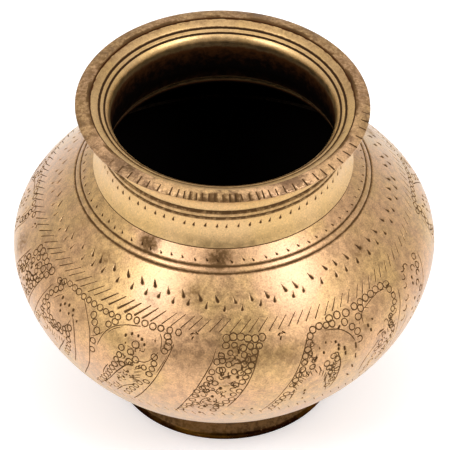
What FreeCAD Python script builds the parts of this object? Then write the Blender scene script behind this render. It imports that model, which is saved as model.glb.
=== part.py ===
import FreeCAD, Part
import math
import os
import re
from collections import namedtuple

import Sketcher

# A turned and engraved brass lota: a round-bellied water pot with a wide funnel mouth.
#
# Five turned pieces are held together with hard solder: the hoop around the lip, the neck with
# its funnel mouth, the shoulder shell, the bowl shell and the foot ring. The four lines of
# solder are pieces of their own. Every piece is a solid of revolution about +Z, and the origin
# is the centre of the foot's resting face.

OUTPUT_FOLDER = "parts"
SHEET = "Sizes"
FULL_TURN = 360.0
VOLUME_TOLERANCE = 1e-3
MM3_IN_CM3 = 1000
UP = FreeCAD.Vector(0, 0, 1)

# The sketcher's own numbers: a curve's start, end and centre, and the sketch's two axes.
START, END, CENTRE = 1, 2, 3
ACROSS_AXIS, UP_AXIS = -1, -2

# The driving dimensions, in millimetres and degrees. A radius is measured from the pot's axis
# and a height from the resting face. A bend is the radius of one arc of an outline. A normal is
# the direction in which the wall faces there, above the horizontal.
DIMENSIONS = (
    ("wall", 1.8, "thickness of the shoulder and bowl shells"),
    ("mouth_radius", 41.9, "hole in the shoulder shell, under the neck"),
    ("mouth_height", 102.3, "top edge of that hole"),
    ("mouth_normal", 54.8, "top of the shoulder"),
    ("shoulder_bend", 150.5, "outline of the shoulder"),
    ("shoulder_normal", 39.5, "where the shoulder meets the belly"),
    ("belly_bend", 20.0, "outline of the belly"),
    ("belly_normal", -9.6, "where the belly meets the lower curve"),
    ("lower_bend", 56.0, "outline below the belly"),
    ("lower_normal", -28.0, "where the lower curve meets the base"),
    ("base_bend", 77.0, "outline of the base"),
    ("base_normal", -65.0, "where the base meets the heel"),
    ("heel_bend", 20.0, "outline of the heel, which ends in a flat bottom"),
    ("lap_normal", 12.0, "top of the tongue in the belly's lap joint"),
    ("bead_spread", 3.2, "half width of the solder in that joint, as an angle"),
    ("shoulder_line_high_radius", 51.0, "upper turned line on the shoulder"),
    ("shoulder_line_low_radius", 52.9, "lower turned line on the shoulder"),
    ("shoulder_line_size", 0.5, "bend of those lines"),
    ("neck_foot_radius", 46.2, "outside of the neck where it stands on the shoulder"),
    ("neck_foot_rise", 0.6, "upright edge of the neck's foot"),
    ("neck_foot_bend", 17.0, "hollow flare above that edge"),
    ("neck_radius", 43.2, "outside of the neck"),
    ("neck_low_height", 109.5, "lower end of the neck's upright wall"),
    ("neck_high_height", 115.4, "upper end of the neck's upright wall"),
    ("neck_line_high_height", 113.3, "upper turned line on the neck"),
    ("neck_line_high_size", 0.9, "bend of that line"),
    ("neck_line_low_height", 110.6, "lower turned line on the neck"),
    ("neck_line_low_size", 0.7, "bend of that line"),
    ("throat_foot_radius", 41.0, "wider lower end of the throat"),
    ("throat_foot_height", 103.3, "lower end of the throat"),
    ("throat_radius", 39.6, "straight bore of the throat"),
    ("throat_low_height", 109.0, "lower end of the bore"),
    ("throat_high_height", 121.2, "upper end of the bore"),
    ("throat_bend", 3.6, "rounding between the bore and the funnel"),
    ("funnel_radius", 41.5, "foot of the funnel"),
    ("funnel_height", 123.8, "foot of the funnel"),
    ("funnel_line_radius", 43.35, "turned line partway up the funnel"),
    ("funnel_line_size", 0.42, "bend of the turned lines in the funnel"),
    ("funnel_bead_bend", 2.4, "rounding between the two turned lines"),
    ("lip_bead_bend", 5.0, "rounding between the upper turned line and the lip's edge"),
    ("lip_radius", 46.45, "outside of the lip, where the hoop sits"),
    ("lip_low_height", 123.9, "lower edge of the lip"),
    ("lip_height", 126.4, "top of the lip"),
    ("lip_hollow_bend", 12.0, "hollow under the lip"),
    ("hoop_height", 127.0, "crest of the hoop, the pot's overall height"),
    ("hoop_bevel", 0.5, "bevel at the hoop's inner edge"),
    ("hoop_crown_radius", 51.3, "outer end of the hoop's convex top"),
    ("hoop_crown_height", 126.2, "outer end of the hoop's convex top"),
    ("hoop_crown_bend", 12.0, "convex top of the hoop"),
    ("hoop_radius", 51.8, "outside of the hoop"),
    ("hoop_edge_height", 125.75, "upper end of the hoop's upright edge"),
    ("hoop_edge_bend", 0.6, "rounding above the hoop's upright edge"),
    ("hoop_low_height", 125.2, "underside of the hoop"),
    ("hoop_low_bend", 0.5, "rounding below the hoop's upright edge"),
    ("lip_solder_leg", 1.3, "legs of the solder under the hoop"),
    ("lip_solder_bend", 3.6, "hollow face of that solder"),
    ("neck_solder_radius", 44.0, "middle of the solder channel in the neck's seat"),
    ("neck_solder_spread", 0.8, "half width of that channel"),
    ("neck_solder_depth", 1.1, "depth of that channel"),
    ("foot_seat_radius", 42.0, "outer edge of the foot ring's seat"),
    ("foot_seat_inner_radius", 38.7, "inner edge of the foot ring's seat"),
    ("foot_cove_bend", 9.5, "hollow between the foot's bead and its seat"),
    ("foot_bead_radius", 40.4, "top of the foot's bead"),
    ("foot_bead_height", 2.4, "top of the foot's bead"),
    ("foot_bead_bend", 1.8, "rounding of the foot's bead"),
    ("foot_radius", 41.0, "outside of the foot on the ground"),
    ("foot_bore_radius", 37.6, "inside of the foot on the ground"),
    ("foot_solder_radius", 36.9, "inner edge of the solder inside the foot"),
    ("foot_solder_share", 0.17, "part of the foot's bore that the solder covers"),
    ("foot_solder_bend", 1.6, "hollow face of that solder"),
)
ALIASES = {alias for alias, size, note in DIMENSIONS}

# The arcs of the pot's outline, from the mouth down to the flat bottom: the bend, and the normal
# where the arc starts. Each arc leaves the one before it without a corner.
OUTLINE = {
    "shoulder": ("shoulder_bend", "mouth_normal"),
    "belly": ("belly_bend", "shoulder_normal"),
    "lower": ("lower_bend", "belly_normal"),
    "base": ("base_bend", "lower_normal"),
    "heel": ("heel_bend", "base_normal"),
}

# One side of a half section. It starts at its corner, a pair of formulas for radius and height,
# and ends at the next side's corner. Sides run anticlockwise, with the brass on their left.
Side = namedtuple("Side", ("corner", "bend", "hollow"))


def line(corner):
    """A straight side."""
    return Side(corner, None, False)


def bulge(corner, bend):
    """A side that is an arc curving out of the brass."""
    return Side(corner, bend, False)


def hollow(corner, bend):
    """A side that is an arc curving into the brass."""
    return Side(corner, bend, True)


def fill_sheet(doc):
    """The spreadsheet of driving dimensions, one row each: name, size, note."""
    sheet = doc.addObject("Spreadsheet::Sheet", SHEET)
    for row, (alias, size, note) in enumerate(DIMENSIONS, start=1):
        sheet.set(f"A{row}", alias)
        sheet.set(f"B{row}", str(size))
        sheet.setAlias(f"B{row}", alias)
        sheet.set(f"C{row}", note)
    doc.recompute()


def tied(formula):
    """The formula with each dimension in it read from the sheet."""
    return re.sub(r"[a-z_]+", lambda m: f"{SHEET}.{m[0]}" if m[0] in ALIASES else m[0], formula)


def number(owner, formula):
    """The formula's value, in the sheet's own units."""
    return float(owner.evalExpression(tied(formula)))


def point(owner, corner):
    """A corner's place in its sketch."""
    return FreeCAD.Vector(*(number(owner, formula) for formula in corner))


def centre_of(arc):
    """Formulas for the radius and height of the centre of one arc of the outline."""
    across, up = "mouth_radius", "mouth_height"
    previous = "0"
    for name, (bend, start) in OUTLINE.items():
        across += f" + ({previous} - {bend}) * cos({start} * 1deg)"
        up += f" + ({previous} - {bend}) * sin({start} * 1deg)"
        if name == arc:
            break
        previous = bend
    return across, up


def facing(arc, normal, depth="0"):
    """The point of an outline arc that faces that way, sunk into the wall by a depth."""
    across, up = centre_of(arc)
    reach = f"({OUTLINE[arc][0]} - {depth})"
    turn = f"(({normal}) * 1deg)"
    return f"{across} + {reach} * cos{turn}", f"{up} + {reach} * sin{turn}"


def at_radius(arc, radius, depth, above):
    """The point of an outline arc at that radius, above or below the arc's centre."""
    across, up = centre_of(arc)
    reach = f"({OUTLINE[arc][0]} - {depth})"
    run = f"({radius} - ({across}))"
    return radius, f"{up} {above} sqrt({reach} * {reach} - {run} * {run})"


def on_shoulder(radius, depth="0"):
    """The point of the shoulder's outline at that radius."""
    return at_radius("shoulder", radius, depth, "+")


def on_base(radius):
    """The point of the base's outline at that radius."""
    return at_radius("base", radius, "0", "-")


def curve(owner, side, start, end):
    """The line or the short arc of a side. An arc always runs anticlockwise about its centre."""
    if side.bend is None:
        return Part.LineSegment(start, end)
    if side.hollow:
        start, end = end, start
    radius = number(owner, side.bend)
    chord = end - start
    inward = UP.cross(chord).normalize()
    centre = (start + end) / 2 + inward * math.sqrt(radius**2 - chord.Length**2 / 4)
    start_angle, end_angle = (math.atan2(p.y - centre.y, p.x - centre.x) for p in (start, end))
    return Part.ArcOfCircle(Part.Circle(centre, UP, radius), start_angle, end_angle)


def new_sketch(body, name):
    """A sketch on the body's own XZ plane, so that X is radius and Y is height."""
    sketch = body.newObject("Sketcher::SketchObject", name)
    plane = next(p for p in body.Origin.OriginFeatures if p.Role == "XZ_Plane")
    sketch.AttachmentSupport = (plane, [""])
    sketch.MapMode = "FlatFace"
    return sketch


def pin(sketch, index, vertex, corner):
    """Ties a vertex to the formulas for its radius and height. A zero puts it on that axis."""
    axes = (("DistanceX", UP_AXIS), ("DistanceY", ACROSS_AXIS))
    for (kind, axis), formula in zip(axes, corner):
        if formula == "0":
            sketch.addConstraint(Sketcher.Constraint("PointOnObject", index, vertex, axis))
        else:
            size = number(sketch, formula)
            place = Sketcher.Constraint(kind, ACROSS_AXIS, START, index, vertex, size)
            sketch.setExpression(f"Constraints[{sketch.addConstraint(place)}]", tied(formula))


def set_bend(sketch, index, bend):
    """Ties the radius of an arc or circle to its formula."""
    radius = Sketcher.Constraint("Radius", index, number(sketch, bend))
    sketch.setExpression(f"Constraints[{sketch.addConstraint(radius)}]", tied(bend))


def revolve(body, sketch, kind):
    """Adds a full turn of the sketch about the pot's axis, as a Revolution or a Groove."""
    feature = body.newObject(f"PartDesign::{kind}", f"{sketch.Name}_{kind.lower()}")
    feature.Profile = sketch
    feature.ReferenceAxis = (sketch, ["V_Axis"])
    feature.Angle = FULL_TURN
    body.Document.recompute()


def turned(doc, label, sides):
    """A body turned from the closed half section that the sides make."""
    body = doc.addObject("PartDesign::Body", label)
    body.Label = label
    sketch = new_sketch(body, f"{label}_section")
    corners = [point(sketch, side.corner) for side in sides]
    ends = corners[1:] + corners[:1]
    for side, start, end in zip(sides, corners, ends):
        sketch.addGeometry(curve(sketch, side, start, end), False)
    for index, side in enumerate(sides):
        previous = (index - 1) % len(sides)
        first = END if side.hollow else START
        last_of_previous = START if sides[previous].hollow else END
        joint = Sketcher.Constraint("Coincident", previous, last_of_previous, index, first)
        sketch.addConstraint(joint)
        pin(sketch, index, first, side.corner)
        if side.bend:
            set_bend(sketch, index, side.bend)
    doc.recompute()
    revolve(body, sketch, "Revolution")
    return body


def turn_lines(body, name, lines):
    """Cuts a round-bottomed line into the body for each centre and bend."""
    volume = body.Shape.Volume
    sketch = new_sketch(body, name)
    for index, (centre, bend) in enumerate(lines):
        circle = Part.Circle(point(sketch, centre), UP, number(sketch, bend))
        sketch.addGeometry(circle, False)
        pin(sketch, index, CENTRE, centre)
        set_bend(sketch, index, bend)
    body.Document.recompute()
    revolve(body, sketch, "Groove")
    if body.Shape.Volume > volume - VOLUME_TOLERANCE:
        raise RuntimeError(f"{name} cut nothing")


def rim_hoop(doc):
    """The flat hoop around the lip, with a convex top and rounded edges."""
    sides = (
        line(("lip_radius", "hoop_low_height")),
        bulge(("hoop_radius - hoop_low_bend", "hoop_low_height"), "hoop_low_bend"),
        line(("hoop_radius", "hoop_low_height + hoop_low_bend")),
        bulge(("hoop_radius", "hoop_edge_height"), "hoop_edge_bend"),
        bulge(("hoop_crown_radius", "hoop_crown_height"), "hoop_crown_bend"),
        line(("lip_radius + hoop_bevel", "hoop_height")),
        line(("lip_radius", "hoop_height - hoop_bevel")),
    )
    return turned(doc, "rim_hoop", sides)


def neck_solder_corners():
    """The inner edge, outer edge and apex of the solder channel in the neck's seat."""
    inner = on_shoulder("(neck_solder_radius - neck_solder_spread)")
    outer = on_shoulder("(neck_solder_radius + neck_solder_spread)")
    apex = on_shoulder("neck_solder_radius", "(0 - neck_solder_depth)")
    return inner, outer, apex


def neck_collar(doc):
    """The neck: a funnel mouth, a straight bore, and a foot that fits the shoulder's curve."""
    channel_inner, channel_outer, channel_apex = neck_solder_corners()
    _, foot_height = on_shoulder("neck_foot_radius")
    funnel_slope = "(lip_height - funnel_height) / (lip_radius - funnel_radius)"
    line_height = f"funnel_height + (funnel_line_radius - funnel_radius) * {funnel_slope}"
    funnel_line = ("funnel_line_radius", line_height)
    sides = (
        hollow(("mouth_radius", "mouth_height"), "shoulder_bend"),
        line(channel_inner),
        line(channel_apex),
        hollow(channel_outer, "shoulder_bend"),
        line(("neck_foot_radius", foot_height)),
        hollow(("neck_foot_radius", f"{foot_height} + neck_foot_rise"), "neck_foot_bend"),
        line(("neck_radius", "neck_low_height")),
        hollow(("neck_radius", "neck_high_height"), "lip_hollow_bend"),
        line(("lip_radius", "lip_low_height")),
        bulge(("lip_radius", "lip_height"), "lip_bead_bend"),
        bulge(funnel_line, "funnel_bead_bend"),
        bulge(("funnel_radius", "funnel_height"), "throat_bend"),
        line(("throat_radius", "throat_high_height")),
        line(("throat_radius", "throat_low_height")),
        line(("throat_foot_radius", "throat_foot_height")),
    )
    body = turned(doc, "neck_collar", sides)
    funnel_lines = (
        (funnel_line, "funnel_line_size"),
        (("funnel_radius", "funnel_height"), "funnel_line_size"),
    )
    turn_lines(body, "funnel_lines", funnel_lines)
    neck_lines = (
        (("neck_radius", "neck_line_high_height"), "neck_line_high_size"),
        (("neck_radius", "neck_line_low_height"), "neck_line_low_size"),
    )
    turn_lines(body, "neck_lines", neck_lines)
    return body


def shoulder_shell(doc):
    """The upper shell. Its skirt covers the bowl's tongue, down to the widest line."""
    middle = "(wall / 2)"
    sides = (
        hollow(on_shoulder("mouth_radius", "wall"), "shoulder_bend - wall"),
        hollow(facing("belly", "shoulder_normal", "wall"), "belly_bend - wall"),
        line(facing("belly", "lap_normal + bead_spread", "wall")),
        hollow(facing("belly", "lap_normal", middle), f"belly_bend - {middle}"),
        line(facing("belly", "0", middle)),
        bulge(facing("belly", "0"), "belly_bend"),
        bulge(facing("belly", "shoulder_normal"), "shoulder_bend"),
        line(("mouth_radius", "mouth_height")),
    )
    body = turned(doc, "shoulder_shell", sides)
    shoulder_lines = (
        (on_shoulder("shoulder_line_high_radius"), "shoulder_line_size"),
        (on_shoulder("shoulder_line_low_radius"), "shoulder_line_size"),
    )
    turn_lines(body, "shoulder_lines", shoulder_lines)
    return body


def bowl_shell(doc):
    """The lower shell, from the tongue of the lap joint down to the flat bottom."""
    middle = "(wall / 2)"
    flat_radius, heel_height = centre_of("heel")
    bottom_height = f"{heel_height} - heel_bend"
    sides = (
        line(("0", bottom_height)),
        bulge((flat_radius, bottom_height), "heel_bend"),
        bulge(facing("base", "base_normal"), "base_bend"),
        bulge(facing("lower", "lower_normal"), "lower_bend"),
        bulge(facing("belly", "belly_normal"), "belly_bend"),
        line(facing("belly", "0")),
        bulge(facing("belly", "0", middle), f"belly_bend - {middle}"),
        line(facing("belly", "lap_normal", middle)),
        hollow(facing("belly", "lap_normal - bead_spread", "wall"), "belly_bend - wall"),
        hollow(facing("belly", "belly_normal", "wall"), "lower_bend - wall"),
        hollow(facing("lower", "lower_normal", "wall"), "base_bend - wall"),
        hollow(facing("base", "base_normal", "wall"), "heel_bend - wall"),
        line((flat_radius, f"{bottom_height} + wall")),
        line(("0", f"{bottom_height} + wall")),
    )
    return turned(doc, "bowl_shell", sides)


def foot_ring(doc):
    """The foot: a hollow-sided ring with a bead on the ground, seated on the bowl's base."""
    sides = (
        line(("foot_bore_radius", "0")),
        bulge(("foot_radius", "0"), "foot_bead_bend"),
        hollow(("foot_bead_radius", "foot_bead_height"), "foot_cove_bend"),
        hollow(on_base("foot_seat_radius"), "base_bend"),
        line(on_base("foot_seat_inner_radius")),
    )
    return turned(doc, "foot_ring", sides)


def rim_solder(doc):
    """Solder in the corner under the hoop."""
    sides = (
        hollow(("lip_radius", "hoop_low_height - lip_solder_leg"), "lip_solder_bend"),
        line(("lip_radius + lip_solder_leg", "hoop_low_height")),
        line(("lip_radius", "hoop_low_height")),
    )
    return turned(doc, "rim_solder", sides)


def neck_solder(doc):
    """Solder that fills the channel in the neck's seat."""
    inner, outer, apex = neck_solder_corners()
    sides = (
        hollow(inner, "shoulder_bend"),
        line(outer),
        line(apex),
    )
    return turned(doc, "neck_solder", sides)


def belly_solder(doc):
    """Solder in the groove along the inside of the belly's lap joint."""
    sides = (
        line(facing("belly", "lap_normal", "(wall / 2)")),
        hollow(facing("belly", "lap_normal + bead_spread", "wall"), "belly_bend - wall"),
        line(facing("belly", "lap_normal - bead_spread", "wall")),
    )
    return turned(doc, "belly_solder", sides)


def foot_solder(doc):
    """Solder in the corner between the foot ring's bore and the bowl's base."""
    seat_radius, seat_height = on_base("foot_seat_inner_radius")
    edge_radius = f"{seat_radius} + foot_solder_share * (foot_bore_radius - {seat_radius})"
    edge_height = f"({seat_height}) * (1 - foot_solder_share)"
    sides = (
        line((edge_radius, edge_height)),
        hollow((seat_radius, seat_height), "base_bend"),
        hollow(on_base("foot_solder_radius"), "foot_solder_bend"),
    )
    return turned(doc, "foot_solder", sides)


def check(doc, bodies):
    """Stops the build if an object failed or a piece isn't one valid solid."""
    failed = [item.Name for item in doc.Objects if {"Invalid", "Error"} & set(item.State)]
    if failed:
        raise RuntimeError(f"these objects failed: {failed}")
    for body in bodies:
        shape = body.Shape
        if shape.isNull() or not shape.isValid() or len(shape.Solids) != 1:
            raise RuntimeError(f"{body.Label} isn't one valid solid")


def main():
    doc = FreeCAD.newDocument("lota")
    fill_sheet(doc)
    pieces = (
        rim_hoop,
        neck_collar,
        shoulder_shell,
        bowl_shell,
        foot_ring,
        rim_solder,
        neck_solder,
        belly_solder,
        foot_solder,
    )
    bodies = [piece(doc) for piece in pieces]
    doc.recompute()
    check(doc, bodies)
    os.makedirs(OUTPUT_FOLDER, exist_ok=True)
    for body in bodies:
        body.Shape.exportStep(os.path.join(OUTPUT_FOLDER, f"{body.Label}.step"))
        box = body.Shape.optimalBoundingBox(False)
        volume = body.Shape.Volume / MM3_IN_CM3
        print(f"{body.Label}: radius {box.XMax:.2f}, height {box.ZMin:.2f} to {box.ZMax:.2f} mm,"
              f" {volume:.2f} cm3")


main()
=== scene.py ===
"""The looks of a turned and engraved brass lota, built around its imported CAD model."""
import math
import random

import bmesh
import bpy
import numpy as np
from mathutils import Matrix, Vector
from mathutils.geometry import delaunay_2d_cdt


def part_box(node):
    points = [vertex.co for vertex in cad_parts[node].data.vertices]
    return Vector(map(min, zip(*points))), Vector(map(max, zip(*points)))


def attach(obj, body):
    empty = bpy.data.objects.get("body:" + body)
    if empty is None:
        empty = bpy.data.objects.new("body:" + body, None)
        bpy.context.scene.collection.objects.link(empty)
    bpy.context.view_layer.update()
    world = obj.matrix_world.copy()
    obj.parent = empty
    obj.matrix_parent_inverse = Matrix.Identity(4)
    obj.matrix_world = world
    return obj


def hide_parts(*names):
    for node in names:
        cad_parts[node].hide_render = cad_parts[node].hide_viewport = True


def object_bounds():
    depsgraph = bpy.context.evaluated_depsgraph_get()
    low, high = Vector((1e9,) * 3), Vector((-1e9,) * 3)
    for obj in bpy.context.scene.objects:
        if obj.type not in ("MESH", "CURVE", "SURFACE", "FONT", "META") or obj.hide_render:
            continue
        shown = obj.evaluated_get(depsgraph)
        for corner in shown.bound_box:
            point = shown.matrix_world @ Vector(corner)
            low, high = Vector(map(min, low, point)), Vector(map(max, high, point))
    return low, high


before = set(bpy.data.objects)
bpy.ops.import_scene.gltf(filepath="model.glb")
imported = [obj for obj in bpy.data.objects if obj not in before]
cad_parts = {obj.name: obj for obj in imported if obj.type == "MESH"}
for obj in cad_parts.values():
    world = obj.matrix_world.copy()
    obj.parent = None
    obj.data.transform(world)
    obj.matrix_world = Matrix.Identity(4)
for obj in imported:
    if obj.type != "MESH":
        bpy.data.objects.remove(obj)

CAD_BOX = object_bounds()

# Sizes here are in millimetres and degrees, as on the CAD sheet, and the meshes are in metres.
MM = 0.001
FULL_TURN = 360
HALF_TURN = 180

# The wall of the body, as on the CAD sheet: the bend of each arc of the outline, from the mouth
# down, and the direction that the wall faces where the arc starts.
WALL = 1.8
OUTLINE_ARCS = {
    "shoulder": (150.5, 54.8),
    "belly": (20.0, 39.5),
    "lower": (56.0, -9.6),
    "base": (77.0, -28.0),
    "heel": (20.0, -65.0),
}
STRAIGHT_DOWN = -90.0
SEAM_NORMAL = 0.0
LAP_NORMAL = 12.0
BEAD_SPREAD = 3.2

# How finely the turned shapes are divided.
COLUMNS = 180
ROW_LENGTH = 2.0
ROW_TURN = 7.0
FLAT_STEP = 4.0
GROOVE_STEPS = 6
SHARP_ANGLE = math.radians(34)
# Points nearer than this are one point: on a mesh, in metres, and on an outline.
WELD = 2e-6
CLOSEST = 0.02
# How far two runs or flat places may differ and still be the same.
SAME_RUN = 1e-6
SAME_PLACE = 1e-5
# Faces with less ink than this are uncut, and keep the turned surface's own facing.
GROUND_INK = 0.06


# ---------------------------------------------------------------- outlines


def unit(angle):
    """The direction at that angle above the horizontal, as radius and height."""
    return np.array([math.cos(math.radians(angle)), math.sin(math.radians(angle))])


def sweep(centre, radius, start, end):
    """Points of the arc about the centre from one angle to another."""
    length = radius * math.radians(abs(end - start))
    steps = max(math.ceil(length / ROW_LENGTH), math.ceil(abs(end - start) / ROW_TURN), 1)
    return [centre + radius * unit(angle) for angle in np.linspace(start, end, steps + 1)]


def arc(start, end, bend, side):
    """Points of the short arc between two points, with its centre on that side of the way."""
    start, end = np.array(start, float), np.array(end, float)
    chord = end - start
    length = np.hypot(*chord)
    across = np.array([-chord[1], chord[0]]) / length * side
    centre = (start + end) / 2 + across * math.sqrt(bend**2 - length**2 / 4)
    first, last = (math.degrees(math.atan2(*(p - centre)[::-1])) for p in (start, end))
    turn = (last - first + HALF_TURN) % FULL_TURN - HALF_TURN
    return sweep(centre, bend, first, first + turn)


def hollow(start, end, bend):
    """An arc that curves into the brass, on a way that has the air on its left."""
    return arc(start, end, bend, 1)


def bulge(start, end, bend):
    """An arc that curves out of the brass, on a way that has the air on its left."""
    return arc(start, end, bend, -1)


def groove(centre, bend, heading):
    """A round-bottomed turned line, cut where the way runs at that heading."""
    angles = np.linspace(heading + HALF_TURN, heading + FULL_TURN, GROOVE_STEPS + 1)
    return [np.array(centre) + bend * unit(angle) for angle in angles]


def straight(start, end, longest):
    """Points of a straight way, with steps of at most that length."""
    start, end = np.array(start, float), np.array(end, float)
    steps = max(math.ceil(np.hypot(*(end - start)) / longest), 1)
    return [start + (end - start) * share for share in np.linspace(0, 1, steps + 1)]


class Outline:
    """A way along a turned shape: points of radius and height, found by the run along them."""

    def __init__(self, points):
        kept = [np.array(points[0], float)]
        for point in points[1:]:
            if np.hypot(*(point - kept[-1])) > CLOSEST:
                kept.append(np.array(point, float))
        self.points = np.array(kept)
        steps = np.diff(self.points, axis=0)
        self.run = np.concatenate([[0], np.cumsum(np.hypot(*steps.T))])
        tangents = np.gradient(self.points, self.run, axis=0)
        tangents /= np.hypot(*tangents.T)[:, None]
        self.facing = np.stack([-tangents[:, 1], tangents[:, 0]], 1)

    def place(self, run):
        """Radius and height at that run."""
        return tuple(np.interp(run, self.run, self.points[:, k]) for k in (0, 1))

    def outward(self, run):
        """The direction that the surface faces at that run, as radius and height."""
        return tuple(np.interp(run, self.run, self.facing[:, k]) for k in (0, 1))

    def radius(self, run):
        return float(self.place(run)[0])


def high_mm(node):
    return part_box(node)[1] / MM


def low_mm(node):
    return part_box(node)[0] / MM


def body_centres():
    """The centre of each arc of the body's outline, from the place of the belly seam."""
    names = list(OUTLINE_ARCS)
    belly = names.index("belly")
    seam = np.array([high_mm("shoulder_shell").x, low_mm("shoulder_shell").z])
    centres = {"belly": seam - [OUTLINE_ARCS["belly"][0], 0]}
    for above, name in zip(names[belly:], names[belly + 1:]):
        step = OUTLINE_ARCS[above][0] - OUTLINE_ARCS[name][0]
        centres[name] = centres[above] + step * unit(OUTLINE_ARCS[name][1])
    step = OUTLINE_ARCS["belly"][0] - OUTLINE_ARCS["shoulder"][0]
    centres["shoulder"] = centres["belly"] + step * unit(OUTLINE_ARCS["belly"][1])
    return centres


CENTRES = body_centres()


def facing(name, normal):
    """The point of an outline arc that faces that way."""
    return CENTRES[name] + OUTLINE_ARCS[name][0] * unit(normal)


def wall_arc(name, start, end, depth=0.0):
    """Points of an outline arc between two facings, sunk into the wall by a depth."""
    return sweep(CENTRES[name], OUTLINE_ARCS[name][0] - depth, start, end)


def at_radius(name, radius, depth=0.0):
    """The facing of an outline arc at that radius, on the upper half of its circle."""
    reach = OUTLINE_ARCS[name][0] - depth
    return math.degrees(math.acos((radius - CENTRES[name][0]) / reach))


# ---------------------------------------------------------------- engraving


BROAD_STROKE = 0.3


class Cut:
    """One stroke of a graver or punch: places, half widths, a depth and how dark it has gone."""

    def __init__(self, places, half_widths, depth, ink, closed):
        self.places = np.array(places, float)
        self.half_widths = np.broadcast_to(np.array(half_widths, float), len(places))
        self.depth = depth
        self.ink = ink
        self.closed = closed

    def moved(self, turn):
        return Cut(self.places + [turn, 0], self.half_widths, self.depth, self.ink, self.closed)

    def scale(self, outline):
        """Millimetres round the surface in one degree, and along it in one millimetre."""
        return np.array([math.radians(outline.radius(self.places[:, 1].mean())), 1.0])

    def loops(self, outline):
        """The cut's two edges, as closed runs of places."""
        scale = self.scale(outline)
        points = self.places * scale
        if self.closed:
            tangents = np.roll(points, -1, 0) - np.roll(points, 1, 0)
        else:
            tangents = np.gradient(points, axis=0)
        tangents /= np.hypot(*tangents.T)[:, None]
        across = np.stack([-tangents[:, 1], tangents[:, 0]], 1) * self.half_widths[:, None]
        left, right = points + across, points - across
        if self.closed:
            return [left / scale, right / scale]
        end = self.cap(points[-1], tangents[-1], self.half_widths[-1])
        start = self.cap(points[0], -tangents[0], self.half_widths[0])
        return [np.vstack([left, end, right[::-1], start]) / scale]

    @staticmethod
    def cap(point, heading, half_width):
        """The rounded end of a stroke."""
        angles = (45, 0, -45) if half_width > BROAD_STROKE else (0,)
        turns = [Matrix.Rotation(math.radians(angle), 2) @ Vector(heading) for angle in angles]
        return np.array([point + half_width * np.array(turn) for turn in turns])


RING_STEPS = 12
CRESCENT_STEP = 32


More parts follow.
